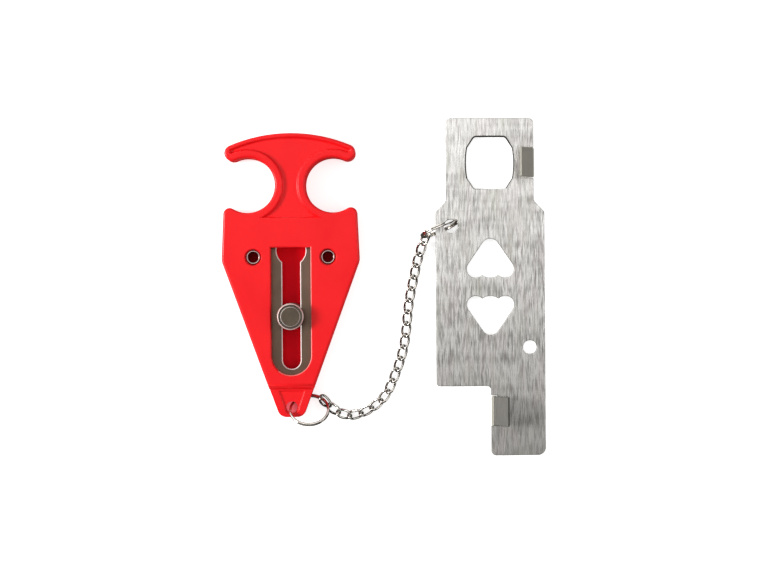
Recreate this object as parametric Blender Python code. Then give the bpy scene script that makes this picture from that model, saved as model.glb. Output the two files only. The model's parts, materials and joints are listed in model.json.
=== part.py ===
"""Portable door lock: a red plastic handle chained to a stainless strike plate.

The lock lies as it is put down on a table, back of the handle down and claws up.
+Z is up, +Y runs towards the handle's grip bar and +X from the handle to the strike plate.
The origin is on the table under the middle of the whole. Lengths are in metres.
"""

import math

import bmesh
import bpy
from mathutils import Matrix, Vector

# Fits shared by all pieces
SEAT_GAP = 0.0003
FLOOR_GAP = 0.00005
OVERRUN = 0.0020
FULL_TURN = 2 * math.pi

# Handle outline, in the handle's own frame: origin midway between the rivets, +Y to the grip
HANDLE_X = -0.0356
HANDLE_Y = 0.0118
GRIP_TOP_Y = 0.0473
NOTCH_X = 0.0163
NOTCH_Y = 0.02745
NOTCH_RADIUS = 0.0105
GRIP_TIP_RADIUS = 0.00305
GRIP_TIP_BEARING = math.radians(65.6)
HORN_RADIUS = 0.0024
HORN_INSET = 0.0008
BODY_HALF_WIDTH = 0.0263
BODY_CORNER_Y = -0.0013
BODY_CORNER_RADIUS = 0.0060
LUG_TIP_Y = -0.0611
LUG_TIP_HALF_WIDTH = 0.0045
LUG_TIP_RADIUS = 0.0035

# Handle levels above the table
BACK_THICKNESS = 0.0037
FRONT_THICKNESS = 0.0050
HANDLE_EDGE_ROUND = 0.0010
LUG_RIM_THICKNESS = 0.0024
LUG_WEB_THICKNESS = 0.0018
LUG_EDGE_ROUND = 0.0005

# Grip recess in the front shell
GRIP_RECESS_DEPTH = 0.0012
GRIP_NOTCH_RIM = 0.0030
GRIP_TOP_RIM = 0.0017
GRIP_LEDGE_Y = 0.0151

# Window in the front shell and the step down to the lug
WINDOW_HALF_WIDTH = 0.0076
WINDOW_TOP_Y = 0.0037
WINDOW_BOTTOM_Y = -0.0450
STEP_Y = -0.0504

# Lug hole and the tapered recess that leads to it
LUG_HOLE_Y = -0.0573
LUG_HOLE_RADIUS = 0.0022
LUG_RECESS_HALF_WIDTH = 0.0048
LUG_RECESS_INSET = 0.0008

# Steel slide plate with its keyhole slot
SLIDE_THICKNESS = 0.0012
SLIDE_BAR_HALF_WIDTH = 0.0190
SLIDE_BAR_TOP_Y = 0.0112
SLIDE_BAR_BOTTOM_Y = -0.0046
SLIDE_BAR_RADIUS = 0.0020
SLIDE_STEM_HALF_WIDTH = 0.0092
SLIDE_END_Y = -0.0380
SLOT_HALF_WIDTH = 0.00345
SLOT_END_Y = -0.0393
KEYHOLE_Y = 0.0026
KEYHOLE_RADIUS = 0.0056

# Stud that slides in the slot
STUD_Y = -0.0226
STUD_NECK_RADIUS = 0.00325
STUD_FLANGE_RADIUS = 0.0052
STUD_FLANGE_THICKNESS = 0.0014
STUD_RUNNING_GAP = 0.0002
STUD_HEAD_RADIUS = 0.0051
STUD_HEAD_THICKNESS = 0.0020
STUD_HEAD_CHAMFER = 0.0006
STUD_HEAD_LIFT = 0.0005
STUD_GROOVE_RADIUS = 0.0039
STUD_GROOVE_WIDTH = 0.0003
STUD_GROOVE_DEPTH = 0.0003
CHANNEL_FLOOR = 0.0018
CHANNEL_CLEARANCE = 0.0006

# Tubular rivets pressed through the front shell and slide plate into blind pockets of the back shell
RIVET_X = 0.01425
RIVET_BORE_RADIUS = 0.00185
RIVET_BARREL_RADIUS = 0.00215
RIVET_FLANGE_RADIUS = 0.0028
RIVET_FLANGE_THICKNESS = 0.0005
RIVET_FLANGE_ROUND = 0.0002
RIVET_FRONT_SINK = 0.0012
RIVET_POCKET_FLOOR = 0.0012
COUNTERBORE_RADIUS = 0.0032

# Split rings: two flat turns of wire side by side
RING_DIAMETER = 0.0154
RING_WIRE_RADIAL = 0.0009
RING_WIRE_AXIAL = 0.0006
RING_TURN_GAP = 0.0001
RING_JOG_ANGLE = math.radians(36)
RING_END_ANGLE = math.radians(14)

# Handle ring: how far it leans and where it sits in the lug hole
HANDLE_RING_LEAN = math.radians(45)
HANDLE_RING_SLACK = 0.0004
HANDLE_RING_FLOOR = 0.0001
HANDLE_RING_TURN = math.radians(150)

# Plate ring: it stands nearly upright through the strike plate's ring hole
PLATE_RING_LEAN = math.radians(7)
PLATE_RING_YAW = math.radians(22)
PLATE_RING_TURN = math.radians(40)
PLATE_RING_CLEARANCE = 0.0001

# Chain of twisted oval links
LINK_WIRE_RADIUS = 0.00048
LINK_PITCH = 0.0045
LINK_PLAY = 0.00025
LINK_RING_EASE = 0.0009
LINK_HALF_WIDTH = 0.0015
LINK_TWIST = math.radians(45)
CHAIN_START_ANGLE = math.radians(42)
CHAIN_END_ANGLE = math.radians(218)
# The chain's way over the table, as shares of the reach between its two ring joints
CHAIN_ROUTE_SHARES = (
    (0.073, -0.049),
    (0.169, -0.086),
    (0.265, -0.098),
    (0.371, -0.080),
    (0.496, -0.037),
    (0.601, 0.025),
    (0.664, 0.107),
    (0.726, 0.205),
    (0.779, 0.316),
    (0.808, 0.445),
    (0.832, 0.592),
    (0.875, 0.727),
    (0.930, 0.880),
)

# Strike plate, in its own frame: origin at its middle on the underside, claws up
PLATE_LEFT_X = 0.01982
PLATE_LENGTH = 0.1300
PLATE_HALF_WIDTH = 0.02104
PLATE_THICKNESS = 0.0012
PLATE_NECK_HALF_WIDTH = 0.01694
PLATE_NECK_LENGTH = 0.0319
PLATE_SHOULDER_DROP = 0.0043
PLATE_LEG_LENGTH = 0.0268
PLATE_LEG_X = 0.0
PLATE_TOP_RADIUS = 0.0020
PLATE_SHOULDER_RADIUS = 0.0016
PLATE_FOOT_RADIUS = 0.0013
PLATE_LEG_FILLET = 0.0017
PLATE_LEG_LEFT_RADIUS = 0.0018
PLATE_LEG_RIGHT_RADIUS = 0.0030

# Latch opening
LATCH_INSET = 0.0173
LATCH_HALF_WIDTH = 0.00915
LATCH_HALF_HEIGHT = 0.00995
LATCH_SHOULDER_X = 0.00865
LATCH_SHOULDER_Y = 0.0058
LATCH_END_X = 0.0059
LATCH_CORNER_RADIUS = 0.0016

# Heart openings, point outwards, one each side of the plate's middle
HEART_APEX_Y = 0.01855
HEART_APEX_RADIUS = 0.0035
HEART_LOBE_RADIUS = 0.0034
HEART_LOBE_X = 0.0057
HEART_LOBE_DEPTH = 0.01165
HEART_CUSP_X = 0.0031

# Round holes, one for the ring and its twin at the other side
PIN_HOLE_EDGE_INSET = 0.00594
PIN_HOLE_SHOULDER_INSET = 0.00545
PIN_HOLE_RADIUS = 0.00265

# Claws bent up from the plate's edges and in over the plate
CLAW_LENGTH = 0.0112
CLAW_REACH = 0.0070
CLAW_BEND_ANGLE = math.radians(135)
CLAW_BEND_RADIUS = 0.0008
CLAW_RELIEF = 0.0005

# Counts for round shapes
ARC_STEP = math.radians(12)
SHARP_ANGLE = math.radians(32)
BORE_STEPS = 24
LINK_BEND_STEPS = 6
LINK_SIDE_STEPS = 2
LINK_SECTION_STEPS = 8
CURVE_SAMPLES = 24
HALVINGS = 40
RING_STEP = math.radians(14)
BEND_STEPS = 7
LATCH_SIDE_STEPS = 6
BEVEL_STEPS = 2

# Colours, roughness and metallic values
MATERIALS = {
    "red_plastic": ((0.86, 0.030, 0.032, 1.0), 0.36, 0.0),
    "red_plastic_inside": ((0.62, 0.010, 0.014, 1.0), 0.45, 0.0),
    "slide_steel": ((0.36, 0.33, 0.29, 1.0), 0.38, 1.0),
    "stud_steel": ((0.46, 0.43, 0.38, 1.0), 0.32, 1.0),
    "rivet_steel": ((0.62, 0.60, 0.58, 1.0), 0.24, 1.0),
    "nickel": ((0.70, 0.68, 0.65, 1.0), 0.20, 1.0),
    "brushed_steel": ((0.74, 0.73, 0.71, 1.0), 0.34, 1.0),
}


# Outlines

def arc(centre, radius, start, end):
    """Points on an arc, both ends included; end below start turns clockwise."""
    steps = max(1, math.ceil(abs(end - start) / ARC_STEP - 1e-6))
    angles = [start + (end - start) * i / steps for i in range(steps + 1)]
    return [Vector((centre[0] + radius * math.cos(a), centre[1] + radius * math.sin(a))) for a in angles]


def circle(centre, radius, steps=BORE_STEPS):
    """A closed ring of points."""
    angles = [FULL_TURN * i / steps for i in range(steps)]
    return [Vector((centre[0] + radius * math.cos(a), centre[1] + radius * math.sin(a))) for a in angles]


def fillet(before, corner, after, radius):
    """The arc that rounds one corner of a polygon."""
    corner = Vector(corner)
    inward = (Vector(before) - corner).normalized()
    outward = (Vector(after) - corner).normalized()
    half_angle = inward.angle(outward) / 2
    centre = corner + (inward + outward).normalized() * radius / math.sin(half_angle)
    reach = radius / math.tan(half_angle)
    first = corner + inward * reach - centre
    last = corner + outward * reach - centre
    start = math.atan2(first.y, first.x)
    turn = math.remainder(math.atan2(last.y, last.x) - start, FULL_TURN)
    return arc(centre, radius, start, start + turn)


def rounded(corners):
    """A closed outline from (x, y, radius) corners; radius 0 keeps the corner sharp."""
    outline = []
    for i, (x, y, radius) in enumerate(corners):
        if radius:
            outline += fillet(corners[i - 1][:2], (x, y), corners[(i + 1) % len(corners)][:2], radius)
        else:
            outline.append(Vector((x, y)))
    return outline


def mirrored(half):
    """A closed outline from its right half, given from the top centre down to the bottom centre."""
    return half + [Vector((-p.x, p.y)) for p in reversed(half) if p.x > 1e-9]


def polar(centre, distance, bearing):
    return Vector((centre[0] + distance * math.cos(bearing), centre[1] + distance * math.sin(bearing)))


def grip_top_arc(rim):
    """Centre height and radius of the grip's top edge, tangent to both tips, drawn in by rim."""
    tip = polar((NOTCH_X, NOTCH_Y), NOTCH_RADIUS + GRIP_TIP_RADIUS, GRIP_TIP_BEARING)
    crown = GRIP_TOP_Y - GRIP_TIP_RADIUS
    centre_y = (crown ** 2 - tip.y ** 2 - tip.x ** 2) / (2 * (crown - tip.y))
    return centre_y, GRIP_TOP_Y - centre_y - rim, tip


def taper_half_width(y):
    """Half the body's width at a height on the straight taper."""
    fall = (BODY_HALF_WIDTH - LUG_TIP_HALF_WIDTH) / (BODY_CORNER_Y - LUG_TIP_Y)
    return BODY_HALF_WIDTH - (BODY_CORNER_Y - y) * fall


def handle_half_outline():
    """Right half of the handle's outline, from the top of the grip to the body's corner."""
    centre_y, radius, tip = grip_top_arc(0.0)
    notch = (NOTCH_X, NOTCH_Y)
    horn_out = BODY_HALF_WIDTH - HORN_INSET - HORN_RADIUS - NOTCH_X
    horn_bearing = -math.acos(horn_out / (NOTCH_RADIUS + HORN_RADIUS))
    horn = polar(notch, NOTCH_RADIUS + HORN_RADIUS, horn_bearing)
    tip_top = math.atan2(tip.y - centre_y, tip.x)
    half = arc((0.0, centre_y), radius, math.pi / 2, tip_top)
    half += arc(tip, GRIP_TIP_RADIUS, tip_top, GRIP_TIP_BEARING - math.pi)[1:]
    half += arc(notch, NOTCH_RADIUS, GRIP_TIP_BEARING, FULL_TURN + horn_bearing)[1:]
    half += arc(horn, HORN_RADIUS, math.pi + horn_bearing, 0.0)[1:]
    shoulder = half[-1]
    corner = (BODY_HALF_WIDTH, BODY_CORNER_Y)
    half += fillet(shoulder, corner, (LUG_TIP_HALF_WIDTH, LUG_TIP_Y), BODY_CORNER_RADIUS)
    return half


def handle_outline(end_y):
    """The whole outline, cut square across at end_y; at the lug's tip its corners are round."""
    half = handle_half_outline()
    if end_y > LUG_TIP_Y:
        half.append(Vector((taper_half_width(end_y), end_y)))
    else:
        corner = (LUG_TIP_HALF_WIDTH, LUG_TIP_Y)
        half += fillet((BODY_HALF_WIDTH, BODY_CORNER_Y), corner, (0.0, LUG_TIP_Y), LUG_TIP_RADIUS)
    return mirrored(half)


def grip_recess_outline():
    """The sunk field in the grip: inside the top edge, outside both notches, above the ledge."""
    centre_y, radius, tip = grip_top_arc(GRIP_TOP_RIM)
    notch = Vector((NOTCH_X, NOTCH_Y))
    rim_radius = NOTCH_RADIUS + GRIP_NOTCH_RIM
    ledge_angle = math.pi + math.asin((NOTCH_Y - GRIP_LEDGE_Y) / rim_radius)
    cap_radius = GRIP_TIP_RADIUS - (GRIP_TOP_RIM + GRIP_NOTCH_RIM) / 2
    tip_top = math.atan2(tip.y - centre_y, tip.x)
    cap = polar(tip, GRIP_TIP_RADIUS - GRIP_TOP_RIM - cap_radius, tip_top)
    cap_end = polar(cap, cap_radius, tip_top - math.pi) - notch
    half = arc((0.0, centre_y), radius, math.pi / 2, tip_top)
    half += arc(cap, cap_radius, tip_top, tip_top - math.pi)[1:]
    half += arc(notch, rim_radius, math.atan2(cap_end.y, cap_end.x), ledge_angle)[1:]
    return mirrored(half)


def slot_outline(half_width, top_y, end_y):
    """A slot with a square top and a round end."""
    half = [Vector((half_width, top_y))] + arc((0.0, end_y), half_width, 0.0, -math.pi / 2)
    return half + [Vector((-p.x, p.y)) for p in reversed(half) if p.x > 1e-9]


def keyhole_outline():
    """The slot with its round head."""
    side = math.asin(SLOT_HALF_WIDTH / KEYHOLE_RADIUS)
    half = arc((0.0, KEYHOLE_Y), KEYHOLE_RADIUS, math.pi / 2, side - math.pi / 2)
    half += arc((0.0, SLOT_END_Y), SLOT_HALF_WIDTH, 0.0, -math.pi / 2)
    return mirrored(half)


def slide_outline(margin):
    """The slide plate's T outline, grown by margin for its pocket."""
    bar = SLIDE_BAR_HALF_WIDTH + margin
    stem = SLIDE_STEM_HALF_WIDTH + margin
    top = SLIDE_BAR_TOP_Y + margin
    bottom = SLIDE_BAR_BOTTOM_Y - margin
    half = [Vector((0.0, top))]
    half += fillet((0.0, top), (bar, top), (bar, bottom), SLIDE_BAR_RADIUS + margin)
    half += fillet((bar, top), (bar, bottom), (stem, bottom), SLIDE_BAR_RADIUS + margin)
    half += fillet((bar, bottom), (stem, bottom), (stem, SLIDE_END_Y), SLIDE_BAR_RADIUS - margin)
    half += arc((0.0, SLIDE_END_Y), stem, 0.0, -math.pi / 2)
    return mirrored(half)


# Meshes

def prism(outline, bottom, top):
    """A closed prism over an outline."""
    mesh = bmesh.new()
    face = mesh.faces.new([mesh.verts.new((p.x, p.y, bottom)) for p in outline])
    raised = bmesh.ops.extrude_face_region(mesh, geom=[face])["geom"]
    tops = [v for v in raised if isinstance(v, bmesh.types.BMVert)]
    bmesh.ops.translate(mesh, verts=tops, vec=(0.0, 0.0, top - bottom))
    bmesh.ops.recalc_face_normals(mesh, faces=mesh.faces)
    return mesh


def round_rim(mesh, level, width):
    """Round the edges that lie at one level."""
    rim = [e for e in mesh.edges if all(abs(v.co.z - level) < 1e-7 for v in e.verts)]
    bmesh.ops.bevel(
        mesh, geom=rim, offset=width, offset_type="OFFSET", segments=BEVEL_STEPS,
        profile=0.5, affect="EDGES", clamp_overlap=False, material=-1,
    )


def plate_mesh(outline, holes, thickness):
    """A flat sheet with holes, from its outline and the holes' outlines."""
    mesh = bmesh.new()
    edges = []
    for loop in [outline, *holes]:
        verts = [mesh.verts.new((p.x, p.y, 0.0)) for p in loop]
        edges += [mesh.edges.new((verts[i - 1], verts[i])) for i in range(len(verts))]
    bmesh.ops.triangle_fill(mesh, use_beauty=True, use_dissolve=False, edges=edges)
    raised = bmesh.ops.extrude_face_region(mesh, geom=list(mesh.faces))["geom"]
    tops = [v for v in raised if isinstance(v, bmesh.types.BMVert)]
    bmesh.ops.translate(mesh, verts=tops, vec=(0.0, 0.0, thickness))
    bmesh.ops.recalc_face_normals(mesh, faces=mesh.faces)
    return mesh


def turned(profile, steps=BORE_STEPS):
    """A closed ring or solid turned about Z from (radius, height) points."""
    mesh = bmesh.new()
    rings = []
    for radius, height in profile:
        if radius:
            rings.append([mesh.verts.new((p.x, p.y, height)) for p in circle((0.0, 0.0), radius, steps)])
        else:
            rings.append([mesh.verts.new((0.0, 0.0, height))])
    for below, above in zip(rings, rings[1:] + rings[:1]):
        if len(below) == 1 and len(above) == 1:
            continue
        for i in range(steps):
            j = (i + 1) % steps
            lower = [below[i % len(below)], below[j % len(below)]]
            upper = [above[j % len(above)], above[i % len(above)]]
            mesh.faces.new(dict.fromkeys(lower + upper))
    bmesh.ops.recalc_face_normals(mesh, faces=mesh.faces)
    return mesh


def swept(stations, closed):
    """A tube through stations, each a ring of section points."""
    mesh = bmesh.new()
    rings = [[mesh.verts.new(p) for p in section] for section in stations]
    pairs = list(zip(rings, rings[1:]))
    if closed:
        pairs.append((rings[-1], rings[0]))
    for first, second in pairs:
        for i in range(len(first)):
            j = (i + 1) % len(first)
            mesh.faces.new((first[i], first[j], second[j], second[i]))
    if not closed:
        mesh.faces.new(reversed(rings[0]))
        mesh.faces.new(rings[-1])
    bmesh.ops.recalc_face_normals(mesh, faces=mesh.faces)
    return mesh


# Scene helpers

world_frames = {}


def clear_scene():
    for old in list(bpy.data.objects):
        bpy.data.objects.remove(old, do_unlink=True)


def make_materials():
    made = {}
    for name, (colour, roughness, metallic) in MATERIALS.items():
        material = bpy.data.materials.new(name)
        material.use_nodes = True
        shader = material.node_tree.nodes["Principled BSDF"]
        shader.inputs["Base Color"].default_value = colour
        shader.inputs["Roughness"].default_value = roughness
        shader.inputs["Metallic"].default_value = metallic
        made[name] = material
    return made


def add(name, mesh, material, frame=None, parent=None):
    """An object from a bmesh in its own frame, parented without moving."""
    data = bpy.data.meshes.new(name)
    mesh.to_mesh(data)
    mesh.free()
    item = bpy.data.objects.new(name, data)
    bpy.context.collection.objects.link(item)
    if material:
        data.materials.append(material)
    data.shade_smooth()
    data.set_sharp_from_angle(angle=SHARP_ANGLE)
    attach(item, frame or Matrix.Identity(4), parent)
    return item


def attach(item, frame, parent):
    """Place an object in the world, under its parent."""
    world_frames[item.name] = frame
    if parent:
        item.parent = parent
        item.matrix_parent_inverse = world_frames[parent.name].inverted()
    item.matrix_basis = frame


def cut(item, mesh):
    """Cut a solid, given in the object's own frame, out of an object."""
    tool = add("cutter", mesh, None, world_frames[item.name])
    step = item.modifiers.new("cut", "BOOLEAN")
    step.operation = "DIFFERENCE"
    step.solver = "EXACT"
    step.object = tool
    bpy.context.view_layer.update()
    result = bpy.data.meshes.new_from_object(item.evaluated_get(bpy.context.evaluated_depsgraph_get()))
    item.modifiers.clear()
    old = item.data
    item.data = result
    result.name = item.name
    bpy.data.meshes.remove(old)
    spent = tool.data
    bpy.data.objects.remove(tool, do_unlink=True)
    bpy.data.meshes.remove(spent)


# Handle

SEAM_LEVEL = BACK_THICKNESS + SEAT_GAP
PLATEAU_LEVEL = SEAM_LEVEL + FRONT_THICKNESS
LUG_WEB_LEVEL = SEAM_LEVEL + LUG_WEB_THICKNESS
LUG_RIM_LEVEL = SEAM_LEVEL + LUG_RIM_THICKNESS
POCKET_LEVEL = SEAM_LEVEL + SLIDE_THICKNESS + SEAT_GAP
RIVET_HOLE_RADIUS = RIVET_BARREL_RADIUS + SEAT_GAP


def rivet_places():
    return [(-RIVET_X, 0.0), (RIVET_X, 0.0)]


def handle_back(material, frame, parent):
    """Back shell: a flat cover with the stud's channel and two blind pockets for the rivets."""
    mesh = prism(handle_outline(STEP_Y), 0.0, BACK_THICKNESS)
    round_rim(mesh, 0.0, HANDLE_EDGE_ROUND)
    shell = add("handle_back", mesh, material, frame, parent)
    half = STUD_FLANGE_RADIUS + CHANNEL_CLEARANCE
    channel = mirrored(
        arc((0.0, KEYHOLE_Y), half, math.pi / 2, 0.0) + arc((0.0, SLOT_END_Y), half, 0.0, -math.pi / 2)
    )
    cut(shell, prism(channel, CHANNEL_FLOOR, BACK_THICKNESS + OVERRUN))
    for place in rivet_places():
        cut(shell, prism(circle(place, RIVET_HOLE_RADIUS), RIVET_POCKET_FLOOR, BACK_THICKNESS + OVERRUN))
    return shell


def handle_front(material, frame, parent):
    """Front shell: grip with its sunk field, window over the slide plate, and the lug."""
    mesh = prism(handle_outline(LUG_TIP_Y), SEAM_LEVEL, PLATEAU_LEVEL)
    round_rim(mesh, PLATEAU_LEVEL, HANDLE_EDGE_ROUND)
    shell = add("handle_front", mesh, material, frame, parent)
    cut(shell, step_cutter())
    cut(shell, prism(grip_recess_outline(), PLATEAU_LEVEL - GRIP_RECESS_DEPTH, PLATEAU_LEVEL + OVERRUN))
    cut(shell, prism(lug_recess_outline(), LUG_WEB_LEVEL, LUG_RIM_LEVEL + OVERRUN))
    cut(shell, prism(circle((0.0, LUG_HOLE_Y), LUG_HOLE_RADIUS), SEAM_LEVEL - OVERRUN, PLATEAU_LEVEL))
    cut(shell, prism(slide_outline(SEAT_GAP), SEAM_LEVEL - OVERRUN, POCKET_LEVEL))
    window = slot_outline(WINDOW_HALF_WIDTH, WINDOW_TOP_Y, WINDOW_BOTTOM_Y + WINDOW_HALF_WIDTH)
    cut(shell, prism(window, SEAM_LEVEL - OVERRUN, PLATEAU_LEVEL + OVERRUN))
    sink = PLATEAU_LEVEL - RIVET_FRONT_SINK - RIVET_FLANGE_THICKNESS
    for place in rivet_places():
        cut(shell, prism(circle(place, RIVET_HOLE_RADIUS), SEAM_LEVEL - OVERRUN, PLATEAU_LEVEL + OVERRUN))
        cut(shell, prism(circle(place, COUNTERBORE_RADIUS), sink, PLATEAU_LEVEL + OVERRUN))
    return shell


def step_cutter():
    """A bar along X that cuts the step down to the lug and leaves its upper edge round."""
    centre = (STEP_Y + HANDLE_EDGE_ROUND, PLATEAU_LEVEL - HANDLE_EDGE_ROUND)
    profile = [Vector((STEP_Y, LUG_RIM_LEVEL))]
    profile += arc(centre, HANDLE_EDGE_ROUND, math.pi, math.pi / 2)
    profile.append(Vector((centre[0], PLATEAU_LEVEL + OVERRUN)))
    profile.append(Vector((LUG_TIP_Y - OVERRUN, PLATEAU_LEVEL + OVERRUN)))
    profile.append(Vector((LUG_TIP_Y - OVERRUN, LUG_RIM_LEVEL)))
    mesh = prism(profile, -BODY_HALF_WIDTH, BODY_HALF_WIDTH)
    upright = Matrix(((0, 0, 1, 0), (1, 0, 0, 0), (0, 1, 0, 0), (0, 0, 0, 1)))
    bmesh.ops.transform(mesh, matrix=upright, verts=mesh.verts)
    return mesh


def lug_recess_outline():
    """The recess that narrows from the step down to the lug hole."""
    top_y = STEP_Y - LUG_RECESS_INSET
    hole = arc((0.0, LUG_HOLE_Y), LUG_HOLE_RADIUS + LUG_EDGE_ROUND, 0.0, -math.pi / 2)
    return mirrored([Vector((0.0, top_y)), Vector((LUG_RECESS_HALF_WIDTH, top_y))] + hole)


def slide_plate(material, frame, parent):
    """Steel T plate between the shells; its keyhole slot guides the stud."""
    holes = [keyhole_outline()] + [circle(place, RIVET_HOLE_RADIUS) for place in rivet_places()]
    mesh = plate_mesh(slide_outline(0.0), holes, SLIDE_THICKNESS)
    return add("slide_plate", mesh, material, frame @ Matrix.Translation((0.0, 0.0, SEAM_LEVEL)), parent)


def rivet(name, place, material, frame, parent):
    """Tubular rivet, pressed into the back shell's pocket and rolled over in the counterbore."""
    bottom = RIVET_POCKET_FLOOR + SEAT_GAP
    top = PLATEAU_LEVEL - RIVET_FRONT_SINK
    lip = RIVET_FLANGE_ROUND
    profile = [
        (RIVET_BARREL_RADIUS, bottom),
        (RIVET_BARREL_RADIUS, top - RIVET_FLANGE_THICKNESS + SEAT_GAP),
        (RIVET_FLANGE_RADIUS, top - RIVET_FLANGE_THICKNESS + SEAT_GAP),
        (RIVET_FLANGE_RADIUS, top - lip),
        (RIVET_FLANGE_RADIUS - lip, top),
        (RIVET_BORE_RADIUS + lip, top),
        (RIVET_BORE_RADIUS, top - lip),
        (RIVET_BORE_RADIUS, bottom),
    ]
    own = frame @ Matrix.Translation((place[0], place[1], 0.0))
    return add(name, turned(profile), material, own, parent)


def slide_stud(material, frame, parent):
    """Headed stud: flange under the slide plate, neck in the slot, head proud of the handle."""
    flange_top = SEAM_LEVEL - STUD_RUNNING_GAP
    flange_bottom = flange_top - STUD_FLANGE_THICKNESS
    head_bottom = PLATEAU_LEVEL + PLATE_THICKNESS + STUD_HEAD_LIFT
    head_top = head_bottom + STUD_HEAD_THICKNESS
    chamfer = STUD_HEAD_CHAMFER
    profile = [
        (0.0, flange_bottom),
        (STUD_FLANGE_RADIUS, flange_bottom),
        (STUD_FLANGE_RADIUS, flange_top),
        (STUD_NECK_RADIUS, flange_top),
        (STUD_NECK_RADIUS, head_bottom),
        (STUD_HEAD_RADIUS, head_bottom),
        (STUD_HEAD_RADIUS, head_top - chamfer),
        (STUD_HEAD_RADIUS - chamfer, head_top),
        (STUD_GROOVE_RADIUS + STUD_GROOVE_WIDTH, head_top),
        (STUD_GROOVE_RADIUS + STUD_GROOVE_WIDTH, head_top - STUD_GROOVE_DEPTH),
        (STUD_GROOVE_RADIUS, head_top - STUD_GROOVE_DEPTH),
        (STUD_GROOVE_RADIUS, head_top),
        (0.0, head_top),
    ]
    own = frame @ Matrix.Translation((0.0, STUD_Y, 0.0))
    return add("slide_stud", turned(profile), material, own, parent)


# Split rings

RING_RADIUS = (RING_DIAMETER - RING_WIRE_RADIAL) / 2
RING_TURN_PITCH = RING_WIRE_AXIAL + RING_TURN_GAP
RING_HALF_DEPTH = (RING_TURN_PITCH + RING_WIRE_AXIAL) / 2


def ring_mesh(turn):
    """Nearly two turns of flat wire about Z, stepping from one side to the other at a jog."""
    start = turn + RING_JOG_ANGLE / 2 + RING_END_ANGLE
    end = turn + 2 * FULL_TURN - RING_JOG_ANGLE / 2 - RING_END_ANGLE
    steps = math.ceil((end - start) / RING_STEP)
    half_radial = RING_WIRE_RADIAL / 2
    half_axial = RING_WIRE_AXIAL / 2
    stations = []
    for i in range(steps + 1):
        angle = start + (end - start) * i / steps
        share = (angle - turn - FULL_TURN) / RING_JOG_ANGLE + 0.5
        share = min(max(share, 0.0), 1.0)
        height = RING_TURN_PITCH * (share * share * (3 - 2 * share) - 0.5)
        outward = Vector((math.cos(angle), math.sin(angle), 0.0))
        centre = outward * RING_RADIUS + Vector((0.0, 0.0, height))
        section = []
        for k in range(LINK_SECTION_STEPS):
            around = FULL_TURN * (k + 0.5) / LINK_SECTION_STEPS
            flat = math.cos(math.pi / LINK_SECTION_STEPS)
            across = max(-1.0, min(1.0, math.cos(around) / flat))
            up = max(-1.0, min(1.0, math.sin(around) / flat))
            section.append(centre + outward * half_radial * across + Vector((0.0, 0.0, half_axial * up)))
        stations.append(section)
    return swept(stations, closed=False)


def frame_from(origin, x_axis, z_axis):
    """A world frame from its origin, its X axis and a Z axis to be squared up."""
    x_axis = x_axis.normalized()
    z_axis = (z_axis - x_axis * z_axis.dot(x_axis)).normalized()
    y_axis = z_axis.cross(x_axis)
    rows = [(x_axis[i], y_axis[i], z_axis[i], origin[i]) for i in range(3)]
    return Matrix([*rows, (0.0, 0.0, 0.0, 1.0)])


def handle_ring_frame():
    """The ring leans on the lug: low under it, up through the hole, high in front of it."""
    lean = HANDLE_RING_LEAN
    down = Vector((0.0, math.cos(lean), -math.sin(lean)))
    centre_z = HANDLE_RING_FLOOR + RING_DIAMETER / 2 * math.sin(lean) + RING_HALF_DEPTH * math.cos(lean)
    web_middle = SEAM_LEVEL + LUG_WEB_THICKNESS / 2
    drop = (centre_z - web_middle) / (RING_RADIUS * math.sin(lean))
    out = math.sqrt(1 - drop ** 2)
    centre = Vector((
        HANDLE_X - HANDLE_RING_SLACK + RING_RADIUS * out,
        HANDLE_Y + LUG_HOLE_Y - RING_RADIUS * drop * math.cos(lean),
        centre_z,
    ))
    x_axis = Vector((1.0, 0.0, 0.0))
    return frame_from(centre, x_axis, x_axis.cross(down))


# Strike plate

PLATE_END_Y = PLATE_LENGTH / 2
PLATE_SHOULDER_TOP_Y = PLATE_END_Y - PLATE_NECK_LENGTH
PLATE_SHOULDER_BOTTOM_Y = PLATE_SHOULDER_TOP_Y - PLATE_SHOULDER_DROP
PLATE_FOOT_Y = PLATE_LEG_LENGTH - PLATE_END_Y
LATCH_Y = PLATE_END_Y - LATCH_INSET
PIN_HOLE_X = PLATE_HALF_WIDTH - PIN_HOLE_EDGE_INSET
PIN_HOLE_Y = PLATE_SHOULDER_BOTTOM_Y - PIN_HOLE_SHOULDER_INSET
RING_INNER_RADIUS = RING_RADIUS - RING_WIRE_RADIAL / 2


def plate_lift():
    """How high the ring's wire holds the plate's underside at the ring hole."""
    sag = RING_INNER_RADIUS - math.sqrt(RING_INNER_RADIUS ** 2 - (PIN_HOLE_EDGE_INSET / 2) ** 2)
    return RING_WIRE_RADIAL + sag + PLATE_RING_CLEARANCE


def plate_frame():
    """The plate lies on its right edge and leans on the ring's wire at its left."""
    reach = PLATE_HALF_WIDTH + PIN_HOLE_X
    tilt = math.asin(plate_lift() / reach)
    edge = Vector((PLATE_LEFT_X + 2 * PLATE_HALF_WIDTH, 0.0, 0.0))
    turn = Matrix.Rotation(tilt, 4, "Y")
    return Matrix.Translation(edge) @ turn @ Matrix.Translation((-PLATE_HALF_WIDTH, 0.0, 0.0))


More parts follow.
